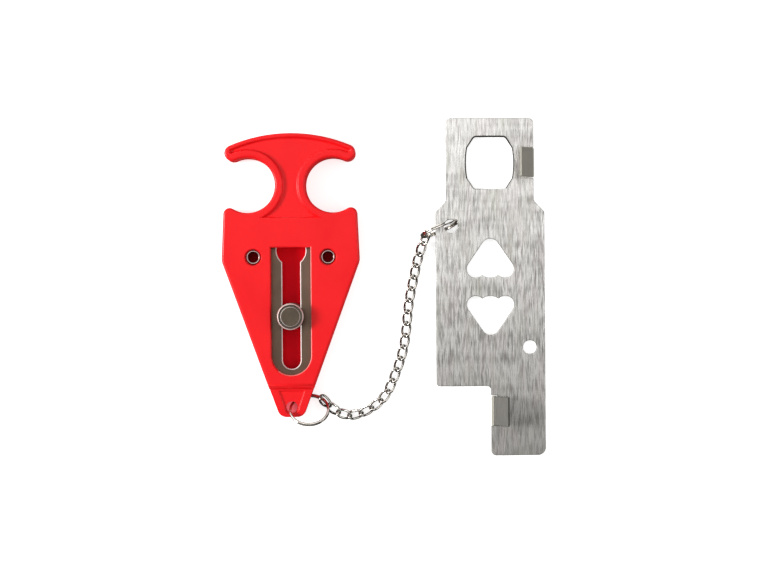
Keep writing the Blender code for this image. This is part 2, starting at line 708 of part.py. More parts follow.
def plate_ring_frame():
    """The ring stands on the table, through the ring hole and round the plate's left edge."""
    along = Vector((math.cos(PLATE_RING_YAW), math.sin(PLATE_RING_YAW), 0.0))
    side = Vector((-along.y, along.x, 0.0))
    up = Vector((0.0, 0.0, math.cos(PLATE_RING_LEAN))) + side * math.sin(PLATE_RING_LEAN)
    hole = plate_frame() @ Vector((-PIN_HOLE_X, PIN_HOLE_Y, PLATE_THICKNESS / 2))
    centre_z = RING_DIAMETER / 2 * math.cos(PLATE_RING_LEAN) + RING_HALF_DEPTH * math.sin(PLATE_RING_LEAN)
    drop = (centre_z - hole.z) / (RING_RADIUS * math.cos(PLATE_RING_LEAN))
    out = math.sqrt(1 - drop ** 2)
    centre = hole - along * RING_RADIUS * out + up * RING_RADIUS * drop
    return frame_from(centre, along, along.cross(up))


def latch_outline():
    """Latch opening: flat ends, canted corners and slightly bowed sides."""
    bow = LATCH_HALF_WIDTH - LATCH_SHOULDER_X
    bow_radius = (LATCH_SHOULDER_Y ** 2 + bow ** 2) / (2 * bow)
    bow_angle = math.asin(LATCH_SHOULDER_Y / bow_radius)
    centre_x = LATCH_HALF_WIDTH - bow_radius
    side = [bow_angle - 2 * bow_angle * i / LATCH_SIDE_STEPS for i in range(LATCH_SIDE_STEPS + 1)]
    half = [Vector((0.0, LATCH_HALF_HEIGHT))]
    half += fillet((0.0, LATCH_HALF_HEIGHT), (LATCH_END_X, LATCH_HALF_HEIGHT),
                   (LATCH_SHOULDER_X, LATCH_SHOULDER_Y), LATCH_CORNER_RADIUS)
    half += [Vector((centre_x + bow_radius * math.cos(a), bow_radius * math.sin(a))) for a in side]
    half += fillet((LATCH_SHOULDER_X, -LATCH_SHOULDER_Y), (LATCH_END_X, -LATCH_HALF_HEIGHT),
                   (0.0, -LATCH_HALF_HEIGHT), LATCH_CORNER_RADIUS)
    half.append(Vector((0.0, -LATCH_HALF_HEIGHT)))
    return [Vector((p.x, p.y + LATCH_Y)) for p in mirrored(half)]


def heart_outline(direction):
    """Heart opening with three scallops; direction 1 points up, -1 points down."""
    apex = Vector((0.0, -HEART_APEX_RADIUS))
    lobe = Vector((HEART_LOBE_X, -HEART_LOBE_DEPTH))
    run = lobe - apex
    side = math.atan2(run.x, -run.y)
    side += math.asin((HEART_APEX_RADIUS - HEART_LOBE_RADIUS) / run.length)
    cusp_angle = math.pi + math.acos((HEART_LOBE_X - HEART_CUSP_X) / HEART_LOBE_RADIUS)
    cusp = polar(lobe, HEART_LOBE_RADIUS, cusp_angle)
    floor_y = lobe.y - HEART_LOBE_RADIUS
    sagitta = cusp.y - floor_y
    middle_radius = (cusp.x ** 2 + sagitta ** 2) / (2 * sagitta)
    middle = Vector((0.0, floor_y + middle_radius))
    half = arc(apex, HEART_APEX_RADIUS, math.pi / 2, side)
    half += arc(lobe, HEART_LOBE_RADIUS, side, cusp_angle - FULL_TURN)
    half += arc(middle, middle_radius, math.atan2(cusp.y - middle.y, cusp.x), -math.pi / 2)[1:]
    return [Vector((p.x, direction * (p.y + HEART_APEX_Y))) for p in mirrored(half)]


def claw_notch(edge_x, centre_y, sign):
    """The cut in an edge that frees a claw, listed from its far end; sign is the edge's side."""
    depth = PLATE_THICKNESS + CLAW_BEND_RADIUS
    half = CLAW_LENGTH / 2
    outer = half + CLAW_RELIEF
    relief = depth + CLAW_RELIEF
    return [
        (edge_x, centre_y + outer, 0.0),
        (edge_x - sign * relief, centre_y + outer, 0.0),
        (edge_x - sign * relief, centre_y + half, 0.0),
        (edge_x - sign * depth, centre_y + half, 0.0),
        (edge_x - sign * depth, centre_y - half, 0.0),
        (edge_x - sign * relief, centre_y - half, 0.0),
        (edge_x - sign * relief, centre_y - outer, 0.0),
        (edge_x, centre_y - outer, 0.0),
    ]


def strike_outline():
    """The plate's outline, clockwise from its top left corner."""
    top = PLATE_END_Y
    neck = PLATE_NECK_HALF_WIDTH
    body = PLATE_HALF_WIDTH
    corners = [(-neck, top, PLATE_TOP_RADIUS), (neck, top, PLATE_TOP_RADIUS)]
    corners += claw_notch(neck, LATCH_Y, 1)
    corners += [
        (neck, PLATE_SHOULDER_TOP_Y, PLATE_SHOULDER_RADIUS),
        (body, PLATE_SHOULDER_BOTTOM_Y, PLATE_SHOULDER_RADIUS),
        (body, -top, PLATE_LEG_RIGHT_RADIUS),
        (PLATE_LEG_X, -top, PLATE_LEG_LEFT_RADIUS),
    ]
    corners += reversed(claw_notch(PLATE_LEG_X, -LATCH_Y, -1))
    corners += [
        (PLATE_LEG_X, PLATE_FOOT_Y, PLATE_LEG_FILLET),
        (-body, PLATE_FOOT_Y, PLATE_FOOT_RADIUS),
        (-body, PLATE_SHOULDER_BOTTOM_Y, PLATE_SHOULDER_RADIUS),
        (-neck, PLATE_SHOULDER_TOP_Y, PLATE_SHOULDER_RADIUS),
    ]
    return rounded(corners)


def bend_claw(mesh, edge_x, centre_y, sign):
    """Bend the free edge of a claw's notch up and back over the plate, and draw it out."""
    root_x = edge_x - sign * (PLATE_THICKNESS + CLAW_BEND_RADIUS)
    middle = Vector((root_x, centre_y, PLATE_THICKNESS / 2))
    root = min(mesh.faces, key=lambda f: (f.calc_center_median() - middle).length)
    axis_point = (root_x, centre_y, PLATE_THICKNESS + CLAW_BEND_RADIUS)
    bent = bmesh.ops.spin(
        mesh, geom=[root], cent=axis_point, axis=(0.0, -sign, 0.0), dvec=(0.0, 0.0, 0.0),
        angle=CLAW_BEND_ANGLE, steps=BEND_STEPS, use_merge=False, use_duplicate=False,
    )["geom_last"]
    face = next(g for g in bent if isinstance(g, bmesh.types.BMFace))
    drawn = bmesh.ops.extrude_face_region(mesh, geom=[face])["geom"]
    tops = [v for v in drawn if isinstance(v, bmesh.types.BMVert)]
    way = Vector((sign * math.cos(CLAW_BEND_ANGLE), 0.0, math.sin(CLAW_BEND_ANGLE)))
    bmesh.ops.translate(mesh, verts=tops, vec=way * CLAW_REACH)
    bmesh.ops.delete(mesh, geom=[root, face], context="FACES_ONLY")


def strike_plate(material, frame, parent):
    """Stainless plate: latch opening, two hearts, two holes and two claws."""
    holes = [latch_outline(), heart_outline(1), heart_outline(-1)]
    holes += [circle((sign * PIN_HOLE_X, -sign * PIN_HOLE_Y), PIN_HOLE_RADIUS) for sign in (-1, 1)]
    mesh = plate_mesh(strike_outline(), holes, PLATE_THICKNESS)
    bend_claw(mesh, PLATE_NECK_HALF_WIDTH, LATCH_Y, 1)
    bend_claw(mesh, PLATE_LEG_X, -LATCH_Y, -1)
    bmesh.ops.recalc_face_normals(mesh, faces=mesh.faces)
    return add("strike_plate", mesh, material, frame, parent)


# Chain

LINK_OVER_LINK = LINK_WIRE_RADIUS + LINK_PLAY / 2
LINK_OVER_RING = LINK_OVER_LINK + RING_HALF_DEPTH + LINK_RING_EASE


def link_stations(pitch, start_roll, end_roll, start_over, end_over):
    """Sections of one link, along X from its joint at 0 to the next joint at pitch."""
    first_x = LINK_HALF_WIDTH - start_over
    last_x = pitch + end_over - LINK_HALF_WIDTH
    flat = []
    for i in range(LINK_BEND_STEPS):
        angle = -math.pi / 2 + math.pi * i / LINK_BEND_STEPS
        flat.append((last_x + LINK_HALF_WIDTH * math.cos(angle), LINK_HALF_WIDTH * math.sin(angle)))
    for i in range(LINK_SIDE_STEPS):
        flat.append((last_x + (first_x - last_x) * i / LINK_SIDE_STEPS, LINK_HALF_WIDTH))
    for i in range(LINK_BEND_STEPS):
        angle = math.pi / 2 + math.pi * i / LINK_BEND_STEPS
        flat.append((first_x + LINK_HALF_WIDTH * math.cos(angle), LINK_HALF_WIDTH * math.sin(angle)))
    for i in range(LINK_SIDE_STEPS):
        flat.append((first_x + (last_x - first_x) * i / LINK_SIDE_STEPS, -LINK_HALF_WIDTH))
    path = []
    for x, y in flat:
        roll = start_roll + (end_roll - start_roll) * x / pitch
        path.append((Vector((x, y * math.cos(roll), y * math.sin(roll))), roll))
    stations = []
    for i, (point, roll) in enumerate(path):
        tangent = (path[(i + 1) % len(path)][0] - path[i - 1][0]).normalized()
        across = Vector((0.0, -math.sin(roll), math.cos(roll)))
        across = (across - tangent * across.dot(tangent)).normalized()
        other = tangent.cross(across)
        section = []
        for k in range(LINK_SECTION_STEPS):
            around = FULL_TURN * k / LINK_SECTION_STEPS
            offset = across * math.cos(around) + other * math.sin(around)
            section.append(point + offset * LINK_WIRE_RADIUS)
        stations.append(section)
    return stations


def link_half_height():
    """How far a link's wire reaches above and below its middle."""
    stations = link_stations(LINK_PITCH, -LINK_TWIST, LINK_TWIST, LINK_OVER_LINK, LINK_OVER_LINK)
    return max(abs(p.z) for section in stations for p in section)


def curve_through(points):
    """A dense smooth curve through points."""
    dense = []
    for i in range(len(points) - 1):
        before = points[max(i - 1, 0)]
        first = points[i]
        second = points[i + 1]
        after = points[min(i + 2, len(points) - 1)]
        for k in range(CURVE_SAMPLES):
            t = k / CURVE_SAMPLES
            dense.append(0.5 * (
                2 * first + (second - before) * t
                + (2 * before - 5 * first + 4 * second - after) * t ** 2
                + (3 * first - before - 3 * second + after) * t ** 3
            ))
    return dense + [points[-1]]


def stepped(dense, steps):
    """Points along a dense curve, each a given straight step from the one before."""
    found = [dense[0]]
    for first, second in zip(dense, dense[1:]):
        while len(found) <= len(steps) and (second - found[-1]).length >= steps[len(found) - 1]:
            low, high = 0.0, 1.0
            for _ in range(HALVINGS):
                middle = (low + high) / 2
                if (first.lerp(second, middle) - found[-1]).length < steps[len(found) - 1]:
                    low = middle
                else:
                    high = middle
            found.append(first.lerp(second, high))
    return found


def chain_joints(handle_ring, plate_ring):
    """Joint points from ring to ring for links of one length."""
    start = handle_ring @ ring_point(CHAIN_START_ANGLE)
    end = plate_ring @ ring_point(CHAIN_END_ANGLE)
    reach = end - start
    rest = link_half_height() + FLOOR_GAP
    route = [start]
    route += [Vector((start.x + reach.x * u, start.y + reach.y * v, rest)) for u, v in CHAIN_ROUTE_SHARES]
    route.append(end)
    dense = [Vector((p.x, p.y, max(p.z, rest))) for p in curve_through(route)]
    length = sum((b - a).length for a, b in zip(dense, dense[1:]))
    ring_loss = LINK_OVER_RING - LINK_OVER_LINK
    count = round((length + 2 * ring_loss) / LINK_PITCH)
    low, high = 0.0, 2 * LINK_PITCH
    for _ in range(HALVINGS):
        pitch = (low + high) / 2
        joints = stepped(dense, [pitch - ring_loss] + [pitch] * (count - 2))
        if len(joints) == count and (end - joints[-1]).length > pitch - ring_loss:
            low = pitch
        else:
            high = pitch
    return stepped(dense, [low - ring_loss] + [low] * (count - 2)) + [end]


def ring_point(angle):
    """A point on a ring's centre line, in the ring's own frame."""
    return Vector((RING_RADIUS * math.cos(angle), RING_RADIUS * math.sin(angle), 0.0))


def ring_tangent(ring, angle):
    return ring.to_3x3() @ Vector((-math.sin(angle), math.cos(angle), 0.0))


def roll_for(wire, frame, hint):
    """The roll that turns a link's end square to the wire through it, on hint's side."""
    local = frame.to_3x3().inverted() @ wire
    roll = math.atan2(-local.y, local.z)
    while roll - hint > math.pi / 2:
        roll -= math.pi
    while hint - roll > math.pi / 2:
        roll += math.pi
    return roll


def chain(material, handle_ring, plate_ring, parent):
    """All links in order, each hung on the one before it."""
    joints = chain_joints(handle_ring, plate_ring)
    count = len(joints) - 1
    for i in range(count):
        run = joints[i + 1] - joints[i]
        frame = frame_from(joints[i], run, Vector((0.0, 0.0, 1.0)))
        start_roll, start_over = -LINK_TWIST, LINK_OVER_LINK
        end_roll, end_over = LINK_TWIST, LINK_OVER_LINK
        if i == 0:
            start_roll = roll_for(ring_tangent(handle_ring, CHAIN_START_ANGLE), frame, start_roll)
            start_over = LINK_OVER_RING
        if i == count - 1:
            end_roll = roll_for(ring_tangent(plate_ring, CHAIN_END_ANGLE), frame, end_roll)
            end_over = LINK_OVER_RING
        mesh = swept(link_stations(run.length, start_roll, end_roll, start_over, end_over), closed=True)
        parent = add(f"chain_link_{i + 1:02d}", mesh, material, frame, parent)
    return parent


# Assembly

def build():
    clear_scene()
    material = make_materials()
    handle_frame = Matrix.Translation((HANDLE_X, HANDLE_Y, 0.0))
    base = bpy.data.objects.new("door_lock", None)
    bpy.context.collection.objects.link(base)
    attach(base, Matrix.Identity(4), None)
    handle_back(material["red_plastic_inside"], handle_frame, base)
    handle_front(material["red_plastic"], handle_frame, base)
    slide_plate(material["slide_steel"], handle_frame, base)
    for name, place in zip(("rivet_left", "rivet_right"), rivet_places()):
        rivet(name, place, material["rivet_steel"], handle_frame, base)
    slide_stud(material["stud_steel"], handle_frame, base)
    near_ring = add(
        "handle_ring", ring_mesh(HANDLE_RING_TURN), material["nickel"], handle_ring_frame(), base
    )
    last_link = chain(material["nickel"], handle_ring_frame(), plate_ring_frame(), near_ring)
    far_ring = add(
        "plate_ring", ring_mesh(PLATE_RING_TURN), material["nickel"], plate_ring_frame(), last_link
    )
    strike_plate(material["brushed_steel"], plate_frame(), far_ring)
    bpy.context.view_layer.update()


build()
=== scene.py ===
"""Looks of the portable door lock: a red handle, a slide plate and stud, two split rings, a
chain and a brushed strike plate, laid out on a white table and seen from straight above.
Lengths are in metres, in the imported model's frame: +Z up, +Y towards the handle's grip.
"""

import json
import math

import bmesh
import bpy
from mathutils import Matrix, Vector


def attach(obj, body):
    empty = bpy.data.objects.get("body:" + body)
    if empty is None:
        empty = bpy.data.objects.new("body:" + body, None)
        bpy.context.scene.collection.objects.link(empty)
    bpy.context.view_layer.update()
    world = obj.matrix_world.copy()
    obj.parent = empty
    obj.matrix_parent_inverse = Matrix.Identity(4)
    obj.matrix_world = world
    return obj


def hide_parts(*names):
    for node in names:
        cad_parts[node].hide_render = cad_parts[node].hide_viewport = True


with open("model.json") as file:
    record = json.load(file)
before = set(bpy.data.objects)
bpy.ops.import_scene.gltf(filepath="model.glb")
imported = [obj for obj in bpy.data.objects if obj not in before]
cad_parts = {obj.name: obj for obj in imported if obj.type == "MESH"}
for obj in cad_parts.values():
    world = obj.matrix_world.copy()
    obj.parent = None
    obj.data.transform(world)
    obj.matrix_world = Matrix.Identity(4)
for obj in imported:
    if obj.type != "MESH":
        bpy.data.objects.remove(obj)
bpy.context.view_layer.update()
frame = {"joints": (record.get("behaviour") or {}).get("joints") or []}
joints = {joint["name"]: joint for joint in frame["joints"]}
FULL_TURN = 2 * math.pi

# Values that mark writes on faces: materials read them as painted highlights and painted shade, the
# plate's underside as its plain mill finish.
PLUS_MARK, MINUS_MARK, CLAW_SHADE_MARK, EDGE_SHADE_MARK = 1.0, -1.0, -2.0, -3.0

# Back shell of the handle: moulded red plastic, the flat cover that closes the handle. The
# channel in its inner face is the floor that shows through the slide plate's slot, painted a
# deeper red as shade. The two tubular rivets are pressed into its blind pockets.

HANDLE_X, HANDLE_Y = -0.0356, 0.0118
GRIP_TOP_Y = 0.0473
NOTCH = Vector((0.0163, 0.02745))
NOTCH_RADIUS = 0.0105
GRIP_TIP_RADIUS = 0.00305
GRIP_TIP_BEARING = math.radians(65.6)
HORN_RADIUS = 0.0024
HORN_BEARING = math.radians(-58.19)
BODY_CORNER = Vector((0.0263, -0.0013))
BODY_CORNER_RADIUS = 0.0060
LUG_TIP = Vector((0.0045, -0.0611))
LUG_TIP_RADIUS = 0.0035
STEP_Y = -0.0504
BACK_TOP = 0.0037
EDGE_ROUND = 0.0010
RIVET_X = 0.01425
RIVET_HOLE_RADIUS = 0.00245
POCKET_FLOOR = 0.0012
CHANNEL_HALF_WIDTH = 0.0058
CHANNEL_FLOOR = 0.0018
CHANNEL_ENDS = (0.0026, -0.0393)
MOULD_EDGE = 0.00015
OVERRUN = 0.001
ARC_STEP = math.radians(3)
STEP_SLACK = 1e-6
ON_AXIS = 1e-9
ON_LEVEL = 2e-6
WELD = 1e-7
SHARP_ANGLE = 0.7
LEVEL_SLOPE = 0.9
SMOOTH_ANGLE = math.radians(42)
# Painted shade for the channel floor, and a painted pale highlight for the window rim.
PAINTED_SHADE_RED, PAINTED_HIGHLIGHT_RED = (1.0, 0.0, 0.011), (1.0, 0.30, 0.28)
SHELL_RED = (0.90, 0.003, 0.007), (0.96, 0.008, 0.011)
COVER_RED = (0.88, 0.003, 0.007), (0.95, 0.007, 0.010)


def polar(centre, distance, bearing):
    """The point at one distance and bearing from a centre."""
    x, y = math.cos(bearing), math.sin(bearing)
    return Vector((centre[0] + distance * x, centre[1] + distance * y))


def arc(centre, radius, start, end):
    """Points on an arc, both ends included; end below start turns clockwise."""
    steps = max(1, math.ceil(abs(end - start) / ARC_STEP - STEP_SLACK))
    return [polar(centre, radius, start + (end - start) * i / steps) for i in range(steps + 1)]


def circle(centre, radius):
    return arc(centre, radius, 0.0, FULL_TURN)[:-1]


def fillet(before, corner, after, radius):
    """The arc that rounds one corner of a polygon."""
    corner = Vector(corner)
    inward = (Vector(before) - corner).normalized()
    outward = (Vector(after) - corner).normalized()
    half_angle = inward.angle(outward) / 2
    centre = corner + (inward + outward).normalized() * radius / math.sin(half_angle)
    reach = radius / math.tan(half_angle)
    first = corner + inward * reach - centre
    last = corner + outward * reach - centre
    start = math.atan2(first.y, first.x)
    turn = math.remainder(math.atan2(last.y, last.x) - start, FULL_TURN)
    return arc(centre, radius, start, start + turn)


def mirrored(half):
    """A closed outline from its right half, given from the top centre down."""
    return half + [Vector((-p.x, p.y)) for p in reversed(half) if p.x > ON_AXIS]


def placed(outline):
    """An outline drawn about the handle's middle, moved to the handle's place."""
    return [Vector((p.x + HANDLE_X, p.y + HANDLE_Y)) for p in outline]


def grip_top_arc(rim):
    """Centre height and radius of the grip's top edge, drawn in by rim, and the tip's centre."""
    tip = polar(NOTCH, NOTCH_RADIUS + GRIP_TIP_RADIUS, GRIP_TIP_BEARING)
    crown = GRIP_TOP_Y - GRIP_TIP_RADIUS
    centre_y = (crown ** 2 - tip.y ** 2 - tip.x ** 2) / (2 * (crown - tip.y))
    return centre_y, GRIP_TOP_Y - centre_y - rim, tip


def handle_outline(end_y):
    """T grip with two finger notches over a body that tapers to end_y or the lug's round tip."""
    centre_y, radius, tip = grip_top_arc(0.0)
    horn = polar(NOTCH, NOTCH_RADIUS + HORN_RADIUS, HORN_BEARING)
    tip_top = math.atan2(tip.y - centre_y, tip.x)
    half = arc((0.0, centre_y), radius, math.pi / 2, tip_top)
    half += arc(tip, GRIP_TIP_RADIUS, tip_top, GRIP_TIP_BEARING - math.pi)[1:]
    half += arc(NOTCH, NOTCH_RADIUS, GRIP_TIP_BEARING, FULL_TURN + HORN_BEARING)[1:]
    half += arc(horn, HORN_RADIUS, math.pi + HORN_BEARING, 0.0)[1:]
    half += fillet(half[-1], BODY_CORNER, LUG_TIP, BODY_CORNER_RADIUS)
    if end_y > LUG_TIP.y:
        share = (end_y - BODY_CORNER.y) / (LUG_TIP.y - BODY_CORNER.y)
        half.append(BODY_CORNER.lerp(LUG_TIP, share))
    else:
        half += fillet(BODY_CORNER, LUG_TIP, (0.0, LUG_TIP.y), LUG_TIP_RADIUS)
    return mirrored(half)


def draw_out(mesh, faces, way):
    """Extrude faces along a vector."""
    drawn = bmesh.ops.extrude_face_region(mesh, geom=faces)["geom"]
    ends = [v for v in drawn if isinstance(v, bmesh.types.BMVert)]
    bmesh.ops.translate(mesh, verts=ends, vec=way)


def prism(outline, bottom, top):
    """A closed prism over an outline."""
    mesh = bmesh.new()
    face = mesh.faces.new([mesh.verts.new((p.x, p.y, bottom)) for p in outline])
    draw_out(mesh, [face], (0.0, 0.0, top - bottom))
    bmesh.ops.recalc_face_normals(mesh, faces=mesh.faces)
    return mesh


def soften(mesh, width, steps=3, level=None, within=None):
    """Round the sharp outer edges, all of them or those at one level or within one area."""
    outer = [e for e in mesh.edges if len(e.link_faces) == 2 and e.is_convex]
    sharp = [e for e in outer if e.calc_face_angle() > SHARP_ANGLE]
    if level is not None:
        sharp = [e for e in sharp if all(abs(v.co.z - level) < ON_LEVEL for v in e.verts)]
    if within is not None:
        sharp = [e for e in sharp if all(within(v.co) for v in e.verts)]
    bmesh.ops.bevel(
        mesh, geom=sharp, offset=width, offset_type="OFFSET", segments=steps,
        profile=0.5, affect="EDGES", clamp_overlap=False, material=-1,
    )


def mark(mesh, chosen, value=PLUS_MARK):
    """Write a mark on the chosen faces."""
    layer = mesh.faces.layers.float.get("painted_light_and_finish") or mesh.faces.layers.float.new("painted_light_and_finish")
    for face in mesh.faces:
        if chosen(face):
            face[layer] = value


def added(name, data):
    """A new object in the scene."""
    made = bpy.data.objects.new(name, data)
    bpy.context.collection.objects.link(made)
    return made


def fill_from(mesh, source):
    """Fill an empty mesh with an object's evaluated shape."""
    bpy.context.view_layer.update()
    shape = source.evaluated_get(bpy.context.evaluated_depsgraph_get())
    mesh.from_mesh(shape.to_mesh())


def cut(mesh, *tools):
    """Cut closed solids out of a closed solid."""
    body = added("uncut", bpy.data.meshes.new("uncut"))
    mesh.to_mesh(body.data)
    cutters = []
    for tool in tools:
        cutter = added("cutter", bpy.data.meshes.new("cutter"))
        tool.to_mesh(cutter.data)
        tool.free()
        step = body.modifiers.new("cut", "BOOLEAN")
        step.operation, step.solver, step.object = "DIFFERENCE", "EXACT", cutter
        cutters.append(cutter)
    mesh.clear()
    fill_from(mesh, body)
    for spent in [body, *cutters]:
        bpy.data.meshes.remove(spent.data)


def piece(name, mesh, finish, node, body):
    """A finished piece in a CAD node's place, smooth over its rounded edges, flat on its flats."""
    data = bpy.data.meshes.new(name)
    mesh.to_mesh(data)
    mesh.free()
    made = added(name, data)
    data.materials.append(finish.material)
    data.shade_smooth()
    data.set_sharp_from_angle(angle=SMOOTH_ANGLE)
    even = made.modifiers.new("even", "WEIGHTED_NORMAL")
    even.keep_sharp = True
    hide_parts(node)
    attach(made, body)


class Lead:
    """One output of a shader node, used in sums and products as a number would be."""

    def __init__(self, shading, socket):
        self.shading = shading
        self.socket = socket

    def beside(self, output):
        """Another output of the same node."""
        return Lead(self.shading, self.socket.node.outputs[output])

    def worked(self, operation, first, second):
        """The outcome of a Math node on two values."""
        return self.shading.node("ShaderNodeMath", {"operation": operation}, {0: first, 1: second})

    def __add__(self, other):
        return self.worked("ADD", self, other)

    def __mul__(self, other):
        return self.worked("MULTIPLY", self, other)

    def __sub__(self, other):
        return self.worked("SUBTRACT", self, other)

    def __rsub__(self, other):
        return self.worked("SUBTRACT", other, self)

    __radd__ = __add__
    __rmul__ = __mul__


class Shading:
    """A node tree that procedural textures are written into."""

    def __init__(self, tree):
        self.tree = tree

    def node(self, kind, settings=None, sockets=None, output=0):
        """A node of one kind, its settings made first, and one of its outputs."""
        made = self.tree.nodes.new(kind)
        for name, value in (settings or {}).items():
            setattr(made, name, value)
        for name, value in (sockets or {}).items():
            if isinstance(value, Lead):
                self.tree.links.new(value.socket, made.inputs[name])
            else:
                made.inputs[name].default_value = value
        return Lead(self, made.outputs[output])

    def grain(self, scale, detail=2.0, shift=(0.0, 0.0, 0.0)):
        """Noise from 0 to 1; scale is its cells per metre along X, Y and Z."""
        where = self.node("ShaderNodeTexCoord", output="Object")
        sockets = {"Vector": where, "Scale": scale, "Location": shift}
        where = self.node("ShaderNodeMapping", None, sockets)
        sockets = {"Vector": where, "Scale": 1.0, "Detail": detail}
        return self.node("ShaderNodeTexNoise", None, sockets)

    def painted_light_and_finish(self):
        """What mark wrote on a face."""
        return self.node("ShaderNodeAttribute", {"attribute_name": "painted_light_and_finish"}, output=2)

    def between(self, share, first, second):
        """A colour between two others."""
        ends = {6: first, 7: second}
        ends = {at: end if isinstance(end, Lead) else (*end, 1.0) for at, end in ends.items()}
        return self.node("ShaderNodeMix", {"data_type": "RGBA"}, {0: share, **ends}, output=2)

    def spread(self, share, low, high, first=0.0, last=1.0):
        """A number that goes from first to last as share goes from low to high."""
        ends = {"From Min": low, "From Max": high, "To Min": first, "To Max": last}
        return self.node("ShaderNodeMapRange", None, {"Value": share, **ends})


class Finish(Shading):
    """A material on a Principled shader, whose varying inputs are fed by procedural textures."""

    def __init__(self, name, metallic=0.0, ior=1.5):
        self.material = bpy.data.materials.new(name)
        self.material.use_nodes = True
        super().__init__(self.material.node_tree)
        self.shader = self.tree.nodes["Principled BSDF"]
        self.shader.inputs["Metallic"].default_value = metallic
        self.shader.inputs["IOR"].default_value = ior

    def feed(self, **leads):
        for socket, lead in leads.items():
            self.tree.links.new(lead.socket, self.shader.inputs[socket.replace("_", " ").title()])

    def bump(self, height, depth):
        self.feed(normal=self.node("ShaderNodeBump", None, {"Height": height, "Distance": depth}))


def red_plastic(name, tones, gloss, ior):
    """Moulded red plastic: slight flow mottle, a fine pebble and softly varied gloss.
    Its plus mark paints the channel's floor a deeper red as shade, its minus mark paints a rim's
    pale highlight."""
    finish = Finish(name, ior=ior)
    flow = finish.spread(finish.grain((90.0, 60.0, 90.0), detail=3.0), 0.3, 0.7)
    moulded = finish.between(flow, *tones)
    shaded = finish.between(finish.spread(finish.painted_light_and_finish(), 0.0, PLUS_MARK), moulded, PAINTED_SHADE_RED)
    pale = finish.spread(finish.painted_light_and_finish(), MINUS_MARK, 0.0, 1.0, 0.0)
    finish.feed(base_color=finish.between(pale, shaded, PAINTED_HIGHLIGHT_RED))
    pebble = finish.grain((2600.0, 2600.0, 2600.0), detail=3.0)
    finish.feed(roughness=flow * 0.05 + pebble * 0.06 + gloss)
    finish.bump(pebble, 0.000006)
    return finish


def channel_floor(face):
    """The floors of the back shell's channel and of its pockets, painted darker as shade."""
    height = face.calc_center_median().z
    return face.normal.z > LEVEL_SLOPE and 0.0 < height < CHANNEL_FLOOR + MOULD_EDGE


shell_red = red_plastic("shell_red", SHELL_RED, gloss=0.30, ior=1.40)
cover_red = red_plastic("cover_red", COVER_RED, gloss=0.46, ior=1.20)

back = prism(placed(handle_outline(STEP_Y)), 0.0, BACK_TOP)
soften(back, EDGE_ROUND, steps=5, level=0.0)
channel = mirrored(
    arc((0.0, CHANNEL_ENDS[0]), CHANNEL_HALF_WIDTH, math.pi / 2, 0.0)
    + arc((0.0, CHANNEL_ENDS[1]), CHANNEL_HALF_WIDTH, 0.0, -math.pi / 2)
)
rivet_places = [Vector((HANDLE_X - RIVET_X, HANDLE_Y)), Vector((HANDLE_X + RIVET_X, HANDLE_Y))]
rivet_holes = [circle(place, RIVET_HOLE_RADIUS) for place in rivet_places]
cut(
    back,
    prism(placed(channel), CHANNEL_FLOOR, BACK_TOP + OVERRUN),
    *[prism(hole, POCKET_FLOOR, BACK_TOP + OVERRUN) for hole in rivet_holes],
)
soften(back, MOULD_EDGE, level=BACK_TOP)
# The channel floor is painted a deeper red as shade.
mark(back, channel_floor)
piece("back_shell", back, cover_red, "handle_back", "handle")

# Slide plate: dark, unpolished steel sheet stamped to a T, clamped between the shells by the
# rivets. Its keyhole slot lets the stud's flange in at the top and guides its neck below.

SLIDE_BOTTOM, SLIDE_TOP = 0.0040, 0.0052
SLIDE_BAR = (0.0190, 0.0112, -0.0046)
SLIDE_STEM_HALF_WIDTH = 0.0092
SLIDE_CORNER = 0.0020
SLIDE_END_Y = -0.0380
SLOT_HALF_WIDTH = 0.00345
SLOT_END_Y = -0.0393
KEYHOLE_Y = 0.0026
KEYHOLE_RADIUS = 0.0056
SLIDE_RIM, SLIDE_BURR = 0.00034, 0.0001
NEARLY_UPRIGHT, NEARLY_LEVEL = 0.05, 0.98
FLAT_ANGLE = 0.01
SLIDE_STEEL = (0.145, 0.098, 0.070), (0.225, 0.158, 0.116)
PAINTED_HIGHLIGHT_SLIDE = (0.95, 0.86, 0.84)


def slide_outline(margin):
    """The slide plate's T, grown by margin for its pocket in the front shell."""
    bar, top, bottom = SLIDE_BAR[0] + margin, SLIDE_BAR[1] + margin, SLIDE_BAR[2] - margin
    stem = SLIDE_STEM_HALF_WIDTH + margin
    half = [Vector((0.0, top))]
    half += fillet((0.0, top), (bar, top), (bar, bottom), SLIDE_CORNER + margin)
    half += fillet((bar, top), (bar, bottom), (stem, bottom), SLIDE_CORNER + margin)
    half += fillet((bar, bottom), (stem, bottom), (stem, SLIDE_END_Y), SLIDE_CORNER - margin)
    return mirrored(half + arc((0.0, SLIDE_END_Y), stem, 0.0, -math.pi / 2))


def sheet_metal(outline, holes, bottom, top):
    """A flat sheet with holes, from its outline and the holes' outlines."""
    mesh = bmesh.new()
    edges = []
    for loop in [outline, *holes]:
        verts = [mesh.verts.new((p.x, p.y, bottom)) for p in loop]
        edges += [mesh.edges.new((verts[i - 1], verts[i])) for i in range(len(verts))]
    bmesh.ops.triangle_fill(mesh, use_beauty=True, use_dissolve=False, edges=edges)
    bmesh.ops.dissolve_limit(mesh, angle_limit=FLAT_ANGLE, verts=[], edges=mesh.edges)
    draw_out(mesh, list(mesh.faces), (0.0, 0.0, top - bottom))
    bmesh.ops.recalc_face_normals(mesh, faces=mesh.faces)
    return mesh


def slanted(face, most=NEARLY_LEVEL):
    """Whether a face is part of a rounded upper edge, neither upright nor level."""
    return NEARLY_UPRIGHT < face.normal.z < most


